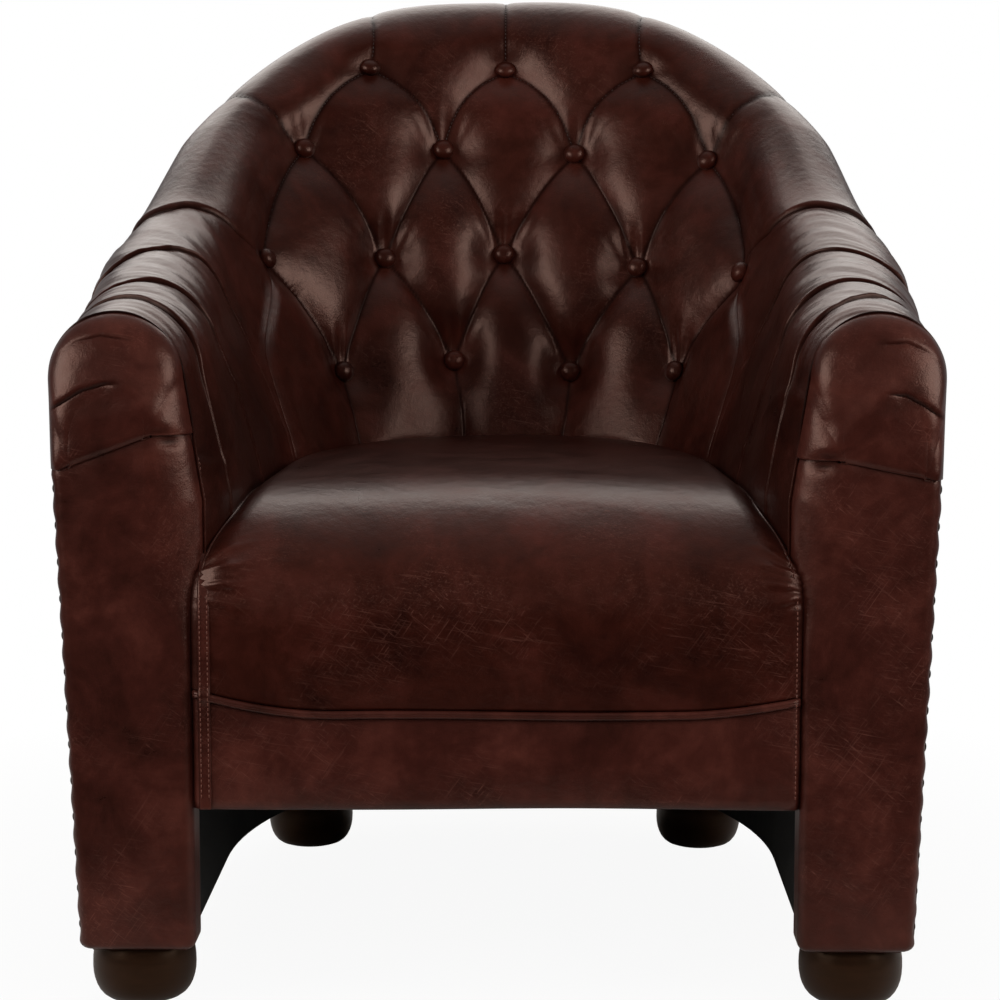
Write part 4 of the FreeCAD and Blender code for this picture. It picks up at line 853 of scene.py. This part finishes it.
def flat_distance(x, z, line):
    """Distance from each point to a line drawn on the front of the cap, and the height above it."""
    nearest = np.full(x.shape, FAR)
    above = np.zeros(x.shape)
    for (ax, az), (bx, bz) in zip(line, line[1:]):
        dx, dz = bx - ax, bz - az
        t = np.clip(((x - ax) * dx + (z - az) * dz) / (dx * dx + dz * dz), 0.0, 1.0)
        away = np.hypot(x - ax - t * dx, z - az - t * dz)
        above = np.where(away < nearest, z - az - t * dz, above)
        nearest = np.minimum(nearest, away)
    return nearest, above


def cap_shape(side):
    """Cap that wraps from the arm's outline round to its front, then fills the front down to the seam."""
    def shape(u, v):
        across = u if side > 0 else 1 - u
        low_in, low_out = SEAMS[side]
        x_arch, z_arch = cap_arch(across, side)
        x_in, x_out = seam_ends(side)
        seam_share = eased(across, 0.0, 1.0)
        x_seam = x_in + (x_out - x_in) * seam_share
        z_seam = low_in + (low_out - low_in) * seam_share
        wrap = np.clip(v / CAP_WRAP, 0.0, 1.0)
        fill = np.clip((v - CAP_WRAP) / (1 - CAP_WRAP), 0.0, 1.0)
        angle = wrap * math.pi / 2
        reach = np.maximum(np.hypot(x_seam - x_arch, z_seam - z_arch), 1e-5)
        share = (1 - np.cos(angle)) * np.minimum(1.0, CAP_ROUND / reach)
        share = share + (1 - share) * fill
        x = x_arch + (x_seam - x_arch) * share
        z = z_arch + (z_seam - z_arch) * share
        y = CAP_REAR_Y + (CAP_FRONT_Y - CAP_REAR_Y) * np.sin(angle)
        firm = eased(v, 0.10, 0.30)
        # Painted shade at the cap's rear edge, in the grooves of the tucks and in the pinch of the gather
        painted_shade = 0.9 * np.exp(-(v / 0.016) ** 2)
        for line in CAP_TUCKS[side]:
            away, above = flat_distance(x, z, line)
            lap = np.tanh(above / 0.0008) * np.exp(-away / np.where(above > 0, 0.012, 0.022))
            end = eased(x, line[-1][0] - 0.004, line[-1][0] + 0.020)
            groove = np.exp(-(away / 0.0016) ** 2)
            y = y - 0.0017 * lap * firm * end + 0.0010 * groove * firm * end
            painted_shade = np.maximum(painted_shade, groove * firm * end)
        away = flat_distance(x, z, CAP_RIDGES[side])[0]
        y = y - 0.0032 * np.exp(-(away / 0.012) ** 2) * firm
        # Gather beside the inner end of the seam: a pinch with a swelling round it
        inner = np.hypot((x - x_in + 0.008) / 0.013, (z - low_in - 0.004) / 0.0045)
        y = y + 0.0022 * np.exp(-inner ** 2) * firm
        painted_shade = np.maximum(painted_shade, 0.5 * np.exp(-(inner * 1.5) ** 2) * firm)
        y = y - 0.0012 * np.sin(math.pi * fill) * np.sin(math.pi * seam_share) * firm
        near_seam = np.exp(-((z - z_seam) / 0.0035) ** 2) * firm
        y = y + 0.0022 * near_seam
        y = y + 0.0004 * np.sin(70 * x + 160 * z) * np.sin(90 * z - 40 * x) * firm
        return np.stack([side * x, y, z], -1), painted_shade
    return shape


for side, hand in SIDES:
    leather_sheet("arm_cap_" + hand, 140, 120, cap_shape(side),
                  ["arm_cap_cover_" + hand, "arm_cap_foam_" + hand], hide=sheen_painted_leather)


# Arm facings: leather over thin foam on the front boards. The inner edge is rounded and sewn to the arm skin,
# the outer edge is turned round the board and nailed, and the bottom is turned under.
FACING_Y = -0.376
FACING_INNER_X = 0.246
FACING_ROUND = 0.010
FACING_WRAP = 0.020
FACING_INNER_WRAP = FACING_WRAP * 1.4
FACING_LOW_ROUND = 0.007
FACING_LOW_TURN = 0.012
FACING_LOW_Z = 0.0520
FACING_UNDER_CAP = 0.005
FACING_PAD = 0.0022
NAIL_Y = -0.3610
NAIL_PITCH = 0.030
NAIL_FIRST_Z = BASE_Z + 0.014
NAIL_COUNT = 13


def facing_section(across, z):
    """Section of the facing at each height: round the inner edge, over the front, round the outer edge."""
    s = np.full(z.shape, SKIN_FRONT)
    at_seat = eased(z, SEAT_Z - 0.13, SEAT_Z - 0.05)
    inner = FACING_INNER_X + (HALF_WIDTH + pad_face(s, z) - FACING_INNER_X) * at_seat
    outer = HALF_WIDTH + WALL_OUTER + lean(s, z) + FRONT_OVERHANG
    wide = 0.008 + 0.036 * at_seat
    deep = 0.010 + 0.016 * at_seat
    quarter_in = math.pi / 2 * (wide + deep) / 2
    quarter = math.pi / 2 * FACING_ROUND
    front = outer - inner - wide - FACING_ROUND
    length = FACING_INNER_WRAP + quarter_in + front + quarter + FACING_WRAP
    run = across * length
    past_inner = run - FACING_INNER_WRAP - quarter_in
    turn_in = np.clip((run - FACING_INNER_WRAP) / quarter_in, 0.0, 1.0) * math.pi / 2
    flat = np.clip(past_inner, 0.0, front)
    turn_out = np.clip((past_inner - front) / quarter, 0.0, 1.0) * math.pi / 2
    back_in = np.maximum(FACING_INNER_WRAP - run, 0.0)
    back_out = np.maximum(run - length + FACING_WRAP, 0.0)
    x = inner + wide * (1 - np.cos(turn_in)) + flat + FACING_ROUND * np.sin(turn_out)
    y = FACING_Y + deep * (1 - np.sin(turn_in)) + FACING_ROUND * (1 - np.cos(turn_out)) + back_in + back_out
    return x, y, flat / front, turn_in, turn_out, back_out


def facing_shape(side):
    """Facing from its turned lower edge up to the seam of the cap."""
    def shape(u, v):
        across = u if side > 0 else 1 - u
        low_in, low_out = SEAMS[side]
        # The top edge goes up under the cap, along its seam
        seam_in, seam_out = seam_ends(side)
        x_top = facing_section(across, np.full(u.shape, low_in))[0]
        seam_share = np.clip((x_top - seam_in) / (seam_out - seam_in), 0.0, 1.0)
        z_top = low_in + (low_out - low_in) * seam_share + FACING_UNDER_CAP
        arc = math.pi / 2 * FACING_LOW_ROUND
        length = z_top - FACING_LOW_Z - FACING_LOW_ROUND + arc + FACING_LOW_TURN
        run = v ** 1.2 * length - FACING_LOW_TURN
        low_turn = np.clip(run / arc, 0.0, 1.0) * math.pi / 2
        z = FACING_LOW_Z + FACING_LOW_ROUND * (1 - np.cos(low_turn)) + np.maximum(run - arc, 0.0)
        tucked = FACING_LOW_ROUND * (1 - np.sin(low_turn)) + np.maximum(-run, 0.0)
        x, y, share, turn_in, turn_out, back_out = facing_section(across, z)
        padded = np.sin(math.pi * share) * np.clip((z_top - z) / 0.05, 0.0, 1.0)
        y = y - FACING_PAD * padded
        y = y + 0.0006 * np.sin(38 * z + 6 * share) * np.sin(5 + 21 * x) * np.sin(math.pi * share)
        # Soft upright swelling below the gather of the cap
        y = y - 0.0022 * np.exp(-((x - 0.274) / 0.014) ** 2) * np.exp(-((z_top - 0.02 - z) / 0.06) ** 2)
        # Eye of the gather just below the inner end of the seam
        pinch = np.exp(-((x - 0.262) / 0.011) ** 2 - ((z_top - 0.0105 - z) / 0.0030) ** 2)
        y = y + 0.0034 * pinch
        # The turned edge is drawn in at each nail and swells between them
        swell = np.cos(2 * math.pi * (z - NAIL_FIRST_Z) / NAIL_PITCH)
        x = x - 0.0009 * swell * eased(turn_out + back_out * 60, 0.6, 1.6)
        outward_x = np.where(turn_out > 0, np.sin(turn_out), -np.cos(turn_in))
        outward_y = np.where(turn_out > 0, -np.cos(turn_out), -np.sin(turn_in))
        x = x - outward_x * tucked
        y = y - outward_y * tucked
        under_cap = np.clip(1 - (z_top - z) / 0.010, 0.0, 1.0)
        x = x - outward_x * 0.0020 * under_cap
        y = y - outward_y * 0.0018 * under_cap
        # Painted shade darkens the top under the cap's edge and the eye of the gather
        return np.stack([side * x, y, z], -1), np.maximum(0.9 * under_cap ** 2, 0.8 * pinch ** 2)
    return shape


for side, hand in SIDES:
    leather_sheet("arm_facing_" + hand, 100, 150, facing_shape(side),
                  ["facing_cover_" + hand, "facing_foam_" + hand], hide=sheen_painted_leather)


# Trim nails: low domed brass nails, antiqued dark, 11 mm across and 30 mm apart.
# They are driven through the turned edge of each facing into the side of its board.
# Antiqued brass: brown black patina that is rubbed a little brighter in spots
patina = grained("antiqued_brass", "#4d3a2a", "#1a120d", (0.003, 0.003, 0.003), 0.38, 0.0001, 1.0)
NAIL_SINK = 0.0006
nail_outline = [(0.0, 0.0032), (0.0020, 0.0030), (0.0038, 0.0022), (0.0050, 0.0010), (0.0055, -0.0004),
                (0.0, -0.0012)]
nail_places = []
for side in (-1, 1):
    for index in range(NAIL_COUNT):
        z = NAIL_FIRST_Z + NAIL_PITCH * index
        out = HALF_WIDTH + WALL_OUTER + float(lean(np.array(PAD_END), z)) - NAIL_SINK
        aim = Vector((side, 0.0, -0.04)).to_track_quat("Z", "Y").to_matrix().to_4x4()
        nail_places.append(Matrix.Translation((side * out, NAIL_Y, z)) @ aim)
nail_mesh = joined_copies("trim_nail_heads", turned("nail", nail_outline, 18), nail_places)
finished_piece("trim_nail_heads", nail_mesh, patina, "nail_brass", "trim_nails")


# Seat: a tight cover over thick foam, crowned on top, rolled over the front and sewn to a welt.
# Its sides and back are pulled down between the foam and the inside padding.
SEAT_FRONT_Y = -0.376
SEAT_ROLL_LOW = 0.318
SEAT_ROLL_DEPTH = 0.135
SEAT_TOP_Z = 0.423
SEAT_CROWN = 0.011
SEAT_CORNER = 0.300
SEAT_SIDE_END = 0.8006
SEAT_EDGE_TUCK = 0.005
SEAT_TUCK_DEPTH = 0.018
WELT_Z = 0.2488
# Shares of the cover's length at which its upright front and its rolled edge end
FACE_END = 0.16
ROLL_END = 0.46


def welt_height(x):
    """Height of the welt below the seat: it is pulled up into both corners."""
    left_lift = 0.0165 * np.clip((-x - 0.13) / 0.11, 0.0, 1.0) ** 1.8
    right_lift = 0.0105 * np.clip((x - 0.15) / 0.09, 0.0, 1.0) ** 1.8
    return WELT_Z + left_lift + right_lift - 0.0006 * np.sin(24 * x)


def seat_edge(s):
    """Plan of the seat's edge, tucked a little into the padding."""
    point, outward = wall(s)
    return point + outward * (pad_face(s, np.full(s.shape, SEAT_Z)) + SEAT_EDGE_TUCK)[..., None]


def seat_plan(u, w):
    """Four-sided patch between the front edge, the two sides and the back of the seat."""
    left = seat_edge(-(SEAT_SIDE_END + (SEAT_CORNER - SEAT_SIDE_END) * w))
    right = seat_edge(SEAT_SIDE_END + (SEAT_CORNER - SEAT_SIDE_END) * w)
    back = seat_edge(SEAT_CORNER * (2 * u - 1))
    stations = (-SEAT_SIDE_END, SEAT_SIDE_END, -SEAT_CORNER, SEAT_CORNER)
    corners = [seat_edge(np.full(u.shape, s)) for s in stations]
    front = corners[0] + (corners[1] - corners[0]) * u[..., None]
    a, b = u[..., None], w[..., None]
    patch = (1 - b) * front + b * back + (1 - a) * left + a * right
    return patch - ((1 - a) * (1 - b) * corners[0] + a * (1 - b) * corners[1]
                    + (1 - a) * b * corners[2] + a * b * corners[3])


def seat_shape(u, v):
    """Seat cover from the welt up the front, over the rolled edge and back along the crowned top."""
    # Cells lie closer towards the sides, where the gathers are
    u = u - 0.5 / (2 * math.pi) * np.sin(2 * math.pi * u)
    climb = np.clip(v / FACE_END, 0.0, 1.0)
    angle = np.clip((v - FACE_END) / (ROLL_END - FACE_END), 0.0, 1.0) * math.pi / 2
    on_top = np.clip((v - ROLL_END) / (1 - ROLL_END), 0.0, 1.0)
    w = SEAT_ROLL_DEPTH * (1 - np.cos(angle) ** 0.9) / (SEAT_SIDE_END - SEAT_CORNER)
    w = w + (1 - w) * on_top
    plan = seat_plan(u, w)
    x, y = plan[:, 0], plan[:, 1]
    across = np.abs(2 * u - 1)
    half = np.maximum(np.abs(seat_plan(np.ones(u.shape), w)[:, 0]), 0.05)
    to_side = (1 - across) * half
    to_back = (1 - on_top) * 0.36
    low = welt_height(x) + 0.0037
    z = low + (SEAT_ROLL_LOW - low) * climb + (SEAT_TOP_Z - SEAT_ROLL_LOW) * np.sin(angle) ** 0.92
    domed = np.sin(math.pi * np.clip(0.25 + 0.6 * on_top, 0.0, 1.0))
    crown = SEAT_CROWN * (1 - across ** 2.2) * domed * np.sin(angle)
    edge = np.minimum(to_side, np.where(on_top > 0, to_back, FAR))
    tuck = np.clip(1 - edge / 0.034, 0.0, 1.0)
    z = z + crown - SEAT_TUCK_DEPTH * tuck ** 2.2 * np.sin(angle)
    # The front swells in the middle and turns back a little at the sewn side edges
    swell = 0.006 * (1 - across ** 4) * np.sin(math.pi * np.clip(v / 0.40, 0.0, 1.0))
    side_turn = np.clip(1 - to_side / 0.012, 0.0, 1.0)
    y = y - swell + 0.006 * (1 - np.sqrt(np.clip(1 - side_turn ** 2, 0.0, 1.0))) * np.cos(angle)
    # Gathers at the top front corners run in from the side seams
    rise = (v - 0.236) * 0.62 + 0.0006 * np.sin(9 + 300 * to_side)
    reach = np.exp(-((to_side - np.where(x < 0, 0.028, 0.014)) / 0.018) ** 2) * np.exp(-(rise / 0.028) ** 2)
    ripple = np.cos(rise / (0.0013 + 0.02 * to_side) + 2.0 * np.sin(170 * rise)) * reach
    z = z + 0.0013 * ripple * np.sin(angle)
    y = y - 0.0030 * ripple * np.cos(angle) - 0.0058 * reach * np.cos(angle)
    z = z + 0.0010 * np.sin(14 * x + 1.0) * np.sin(17 * y) * np.sin(angle)
    slack = np.sin(46 * x + 9 * np.sin(21 * y)) * np.sin(33 * z + 12 * x)
    y = y - 0.0006 * slack * np.cos(angle)
    # Painted shade darkens the sides where the cover goes down into the padding
    return np.stack([x, y, z], -1), np.exp(-(to_side / 0.0035) ** 2) * 0.8


leather_sheet("seat_cover_tight", 170, 190, seat_shape, ["seat_cover", "seat_foam"])
SIDE_PIPING_RADIUS = 0.0014


def seat_piping_shape(side):
    """Thin piping in the seam between the top and the side of the seat."""
    def shape(u, v):
        across = np.full(u.shape, 0.5 + side * 0.466)
        up = 0.24 + 0.46 * u
        middle = seat_shape(across, up)[0]
        ahead = seat_shape(across, up + 0.004)[0] - middle
        ahead /= np.linalg.norm(ahead, axis=-1, keepdims=True)
        outward = np.stack([np.zeros(u.shape), -ahead[:, 2], ahead[:, 1]], -1)
        angle = side * 2 * math.pi * v
        ring = outward * np.sin(angle)[:, None] + np.array([side, 0.0, 0.0]) * np.cos(angle)[:, None]
        # A light painted shade over the whole piping
        return middle + SIDE_PIPING_RADIUS * ring, np.full(u.shape, 0.1)
    return shape


for side, hand in SIDES:
    leather_sheet("seat_side_piping_" + hand, 110, 10, seat_piping_shape(side), [], thick=False)


# Front band and welt: a padded leather band under the seat front, and a piped welt in its top seam.
# Both are sewn to the lower edge of the seat and turned under the front rail.
BAND_HALF = 0.2462
BAND_LOW_Z = 0.1700
BAND_TURN = 0.020
BAND_SWELL = 0.0030
WELT_RADIUS = 0.0034


def band_shape(u, v):
    """Band from its turned lower edge up to the welt."""
    x = BAND_HALF * (2 * u - 1)
    top = welt_height(x) - 0.0010
    run = v * (top - BAND_LOW_Z + BAND_TURN) - BAND_TURN
    z = BAND_LOW_Z + np.maximum(run, 0.0)
    under = np.maximum(-run, 0.0)
    height = (z - BAND_LOW_Z) / (top - BAND_LOW_Z)
    side_turn = np.clip(1 - (BAND_HALF - np.abs(x)) / 0.010, 0.0, 1.0)
    y = SEAT_FRONT_Y + 0.0012 - BAND_SWELL * np.sin(math.pi * height) * (1 - side_turn ** 2)
    y = y + 0.005 * (1 - np.sqrt(np.clip(1 - side_turn ** 2, 0.0, 1.0)))
    y = y + 0.004 * np.clip(1 - np.abs(run) / 0.008, 0.0, 1.0) ** 2 + under
    y = y + 0.0005 * np.sin(30 * x) * np.sin(50 * z)
    z = z + 0.0010 * np.sin(13 * x + 0.6) * (1 - height)
    # Painted shade darkens the top of the band under the welt
    return np.stack([x, y, z], -1), 0.9 * np.clip((height - 0.95) / 0.05, 0.0, 1.0)


leather_sheet("front_band", 130, 50, band_shape, ["front_band_cover", "front_band_foam"],
              hide=sheen_painted_leather)


def welt_shape(u, v):
    """Round welt from side to side, whose ends turn back into the corners."""
    x = (BAND_HALF - 0.001) * (2 * u - 1)
    angle = 2 * math.pi * v
    centre_y = SEAT_FRONT_Y - 0.0014 + 0.005 * np.clip((np.abs(x) - 0.232) / 0.014, 0.0, 1.0) ** 2
    y = centre_y - WELT_RADIUS * np.cos(angle)
    z = welt_height(x) + WELT_RADIUS * np.sin(angle)
    return np.stack([x, y, z], -1), np.zeros(u.shape)


leather_sheet("seat_welt_piping", 150, 14, welt_shape, ["seat_welt"], hide=sheen_painted_leather)


# Front edge strip: the folded seam allowance of seat and band, in the same leather.
# It is sewn flat down the left side of the front with two rows of stitches, over the end of the welt.
STRIP_X = (-0.2405, -0.2300)
STRIP_Z = (BAND_LOW_Z + 0.001, 0.380)
STRIP_LIFT = 0.0030
STRIP_OVER_WELT = 0.0020
STRIP_OVER_WELT_Z = 0.264


def strip_face(z):
    """Front of the seat and band beside the strip."""
    climb = np.clip((z - SEAT_ROLL_LOW) / (SEAT_TOP_Z - SEAT_ROLL_LOW), 0.0, 0.95)
    back = SEAT_ROLL_DEPTH * (1 - (1 - climb ** 2.17) ** 0.45)
    over_welt = STRIP_OVER_WELT * np.exp(-((z - STRIP_OVER_WELT_Z) / 0.006) ** 2)
    return SEAT_FRONT_Y - STRIP_LIFT + back - over_welt


def strip_shape(u, v):
    """Strip that narrows at its top and sinks into the corner of the seat."""
    z = STRIP_Z[0] + (STRIP_Z[1] - STRIP_Z[0]) * v
    x = STRIP_X[0] + (STRIP_X[1] - STRIP_X[0]) * u * (1 - 0.5 * eased(v, 0.8, 1.0))
    round_edge = np.clip(1 - np.minimum(u, 1 - u) / 0.2, 0.0, 1.0)
    sunk = 0.006 * eased(v, 0.84, 1.0)
    y = strip_face(z) + sunk + 0.0016 * round_edge ** 2
    # Painted shade darkens the rounded edges
    return np.stack([x, y, z], -1), 0.5 * round_edge ** 3


leather_sheet("front_edge_strip", 10, 110, strip_shape, [], hide=sheen_painted_leather)


# Stitching: machine-sewn rows of waxed thread along the roll seams and the upper tuft lines,
# beside the front seams of the arms, and down the front edges of the seat and band.
# Waxed polyester thread: dark red brown with a little shine
thread = grained("waxed_thread", "#6e3e30", "#4a241a", (0.001, 0.001, 0.001), 0.5, 0.0001)
# The same thread, darkened with the wax of the back seams: near black brown
dark_thread = grained("waxed_dark_thread", "#2c120c", "#1a0906", (0.001, 0.001, 0.001), 0.55, 0.0001)
STITCH_PITCH = 0.0042
STITCH_LENGTH = STITCH_PITCH * 0.62
THREAD_WIDTH = 0.0009
THREAD_ROUND = 0.0003
ROW_START = 0.010
ROW_END = 0.004


def stitch_places(points, facing, drop):
    """Places for stitches laid end to end along a row of points, sunk by drop below the surface."""
    lengths = np.concatenate([[0.0], np.cumsum(np.linalg.norm(np.diff(points, axis=0), axis=1))])
    places = []
    for start in np.arange(ROW_START, lengths[-1] - ROW_END, STITCH_PITCH):
        ends = [Vector([np.interp(start + step, lengths, points[:, axis]) for axis in range(3)])
                for step in (0.0, STITCH_LENGTH)]
        out = Vector([np.interp(start, lengths, facing[:, axis]) for axis in range(3)]).normalized()
        along_way = (ends[1] - ends[0]).normalized()
        across_way = out.cross(along_way).normalized()
        out = along_way.cross(across_way)
        turn = Matrix((along_way, across_way, out)).transposed().to_4x4()
        places.append(Matrix.Translation((ends[0] + ends[1]) / 2 - out * drop) @ turn)
    return places


back_places = []
for line in stitched_lines:
    ends = np.array(line)
    shares = np.concatenate([[0.0], np.cumsum(np.hypot(*np.diff(ends, axis=0).T))])
    steps = np.linspace(0.0, shares[-1], 160)
    s, run = [np.interp(steps, shares, ends[:, column]) for column in (0, 1)]
    places, _, facing = skin_place(s, run)
    back_places += stitch_places(places, facing, 0.0)
thread_places = []
for side in (-1, 1):
    runs = np.linspace(-0.02, lip_run(SKIN_FRONT), 220)
    places, _, facing = skin_place(np.full(220, side * (SKIN_FRONT - 0.0030)), runs)
    thread_places += stitch_places(places, facing, -0.0002)
heights = np.linspace(STRIP_Z[0], 0.350, 120)
for x, lift in ((-0.2383, 0.0006), (-0.2322, 0.0006), (0.2415, 0.0008)):
    places = np.stack([np.full(120, x), strip_face(heights) - lift, heights], -1)
    thread_places += stitch_places(places, np.tile([0.0, -1.0, 0.0], (120, 1)), 0.0)
stitch_bm = bmesh.new()
stitch_size = Matrix.Diagonal((STITCH_LENGTH, THREAD_WIDTH, THREAD_WIDTH, 1.0))
bmesh.ops.create_cube(stitch_bm, size=1.0, matrix=stitch_size)
bmesh.ops.bevel(stitch_bm, geom=stitch_bm.edges[:], offset=THREAD_ROUND, offset_type="OFFSET", segments=1,
                profile=0.5, affect="EDGES", material=-1)
stitch_mesh = bpy.data.meshes.new("stitch")
stitch_bm.to_mesh(stitch_mesh)
stitch_bm.free()
for name, places, sewn_with in (("back_stitching", back_places, dark_thread),
                                ("front_stitching", thread_places, thread)):
    finished_piece(name, joined_copies(name, stitch_mesh, places), sewn_with, "leather")


# Floor: a round of plain white studio paper under the chair, which takes its soft shadow.
FLOOR_RADIUS = 1.1
FLOOR_BACK = 0.35
floor_bm = bmesh.new()
bmesh.ops.create_circle(floor_bm, cap_ends=True, segments=64, radius=FLOOR_RADIUS,
                        matrix=Matrix.Translation((0.0, FLOOR_BACK, 0.0)))
floor_mesh = bpy.data.meshes.new("studio_floor")
floor_bm.to_mesh(floor_mesh)
floor_bm.free()
floor = bpy.data.objects.new("studio_floor", floor_mesh)
bpy.context.scene.collection.objects.link(floor)
floor_paper = bpy.data.materials.new("white_paper_floor")
floor_paper.use_nodes = True
paper_tree = floor_paper.node_tree
paper = paper_tree.nodes["Principled BSDF"]
paper.inputs["Base Color"].default_value = linear("#d6d6d6")
paper.inputs["Roughness"].default_value = 0.9
glow = add_node(paper_tree, "ShaderNodeEmission", {"Color": (1, 1, 1, 1), "Strength": 1.0})
ray = add_node(paper_tree, "ShaderNodeLightPath")
# Towards its edge the paper is overexposed to plain white, as it is in the photograph
spot = add_node(paper_tree, "ShaderNodeTexCoord").outputs["Object"]
reach = add_node(paper_tree, "ShaderNodeVectorMath", {0: spot}, operation="LENGTH")
white_share = add_node(paper_tree, "ShaderNodeMapRange", {
    "Value": reach.outputs["Value"], 1: 0.3, 2: 0.95, 3: 0.93, 4: 1.0})
lift = add_node(paper_tree, "ShaderNodeMath", {
    0: ray.outputs["Is Camera Ray"], 1: white_share.outputs[0]}, operation="MULTIPLY")
mixed = add_node(paper_tree, "ShaderNodeMixShader", {
    0: lift.outputs[0], 1: paper.outputs[0], 2: glow.outputs[0]})
paper_tree.links.new(mixed.outputs[0], paper_tree.nodes["Material Output"].inputs["Surface"])
floor_mesh.materials.append(floor_paper)


# Studio light: a low softbox at each side in front, a broad one behind and above, and a fill by the camera.
# Their cloth gives a slightly warm white.
LAMP_COLOUR = (1.0, 0.95, 0.90)


def softbox(name, place, aim, width, height, power):
    """Rectangular lamp that the camera doesn't see."""
    lamp = bpy.data.lights.new(name, "AREA")
    lamp.shape = "RECTANGLE"
    lamp.size = width
    lamp.size_y = height
    lamp.energy = power
    lamp.color = LAMP_COLOUR
    holder = bpy.data.objects.new(name, lamp)
    holder.location = place
    holder.rotation_euler = (Vector(aim) - Vector(place)).to_track_quat("-Z", "Y").to_euler()
    holder.visible_camera = False
    bpy.context.scene.collection.objects.link(holder)
    return holder


softbox("left_softbox", (-2.2, -1.3, 1.3), (0.0, 0.0, 0.6), 1.6, 1.3, 37.0)
softbox("right_softbox", (2.2, -1.3, 1.3), (0.0, 0.0, 0.6), 1.6, 1.3, 37.0)
softbox("rear_softbox", (0.0, 2.3, 2.4), (0.0, 0.0, 0.6), 3.2, 2.2, 44.0)
# The fill beside the camera is polarised, so that it lights the leather without a shine of its own
softbox("fill_softbox", (0.0, -2.0, 1.2), (0.0, 0.0, 0.45), 2.6, 1.0, 17.0).visible_glossy = False

# White room: plain white behind the chair, dim as a light, and reflected most from behind and above
world = bpy.data.worlds.new("white_studio")
bpy.context.scene.world = world
world.use_nodes = True
sky = world.node_tree
sky.nodes.clear()
ray = add_node(sky, "ShaderNodeLightPath")
direction = add_node(sky, "ShaderNodeTexCoord").outputs["Generated"]
parts = add_node(sky, "ShaderNodeSeparateXYZ", {0: direction})
behind = add_node(sky, "ShaderNodeMapRange", {"Value": parts.outputs["Y"], 1: -0.1, 2: 0.6, 3: 0.02, 4: 0.3})
above = add_node(sky, "ShaderNodeMapRange", {"Value": parts.outputs["Z"], 1: 0.70, 2: 0.96, 3: 0.0, 4: 0.4})
both = add_node(sky, "ShaderNodeMath", {0: behind.outputs[0], 1: above.outputs[0]}, operation="ADD")
shine = add_node(sky, "ShaderNodeBackground", {"Color": (1, 1, 1, 1), "Strength": both.outputs[0]})
plain = add_node(sky, "ShaderNodeBackground", {"Color": (1, 1, 1, 1), "Strength": 0.08})
white = add_node(sky, "ShaderNodeBackground", {"Color": (1, 1, 1, 1), "Strength": 1.0})
mirror = add_node(sky, "ShaderNodeMath", {
    0: ray.outputs["Is Glossy Ray"], 1: ray.outputs["Is Transmission Ray"]}, operation="MAXIMUM")
reflected = add_node(sky, "ShaderNodeMixShader", {
    0: mirror.outputs[0], 1: plain.outputs[0], 2: shine.outputs[0]})
seen = add_node(sky, "ShaderNodeMixShader", {
    0: ray.outputs["Is Camera Ray"], 1: reflected.outputs[0], 2: white.outputs[0]})
add_node(sky, "ShaderNodeOutputWorld", {"Surface": seen.outputs[0]})


# Camera: in front of the chair, above the height of its arms, looking slightly down.
# Its long lens keeps the sides nearly upright.
camera = bpy.data.cameras.new("front_camera")
camera.lens = 90.0
camera.sensor_width = 36.0
tripod = bpy.data.objects.new("front_camera", camera)
tripod.location = (0.031, -2.357, 0.660)
tripod.rotation_euler = (math.radians(83.2), 0.0, math.atan(0.014))
bpy.context.scene.collection.objects.link(tripod)
bpy.context.scene.camera = tripod
bpy.context.scene.view_settings.view_transform = "Standard"
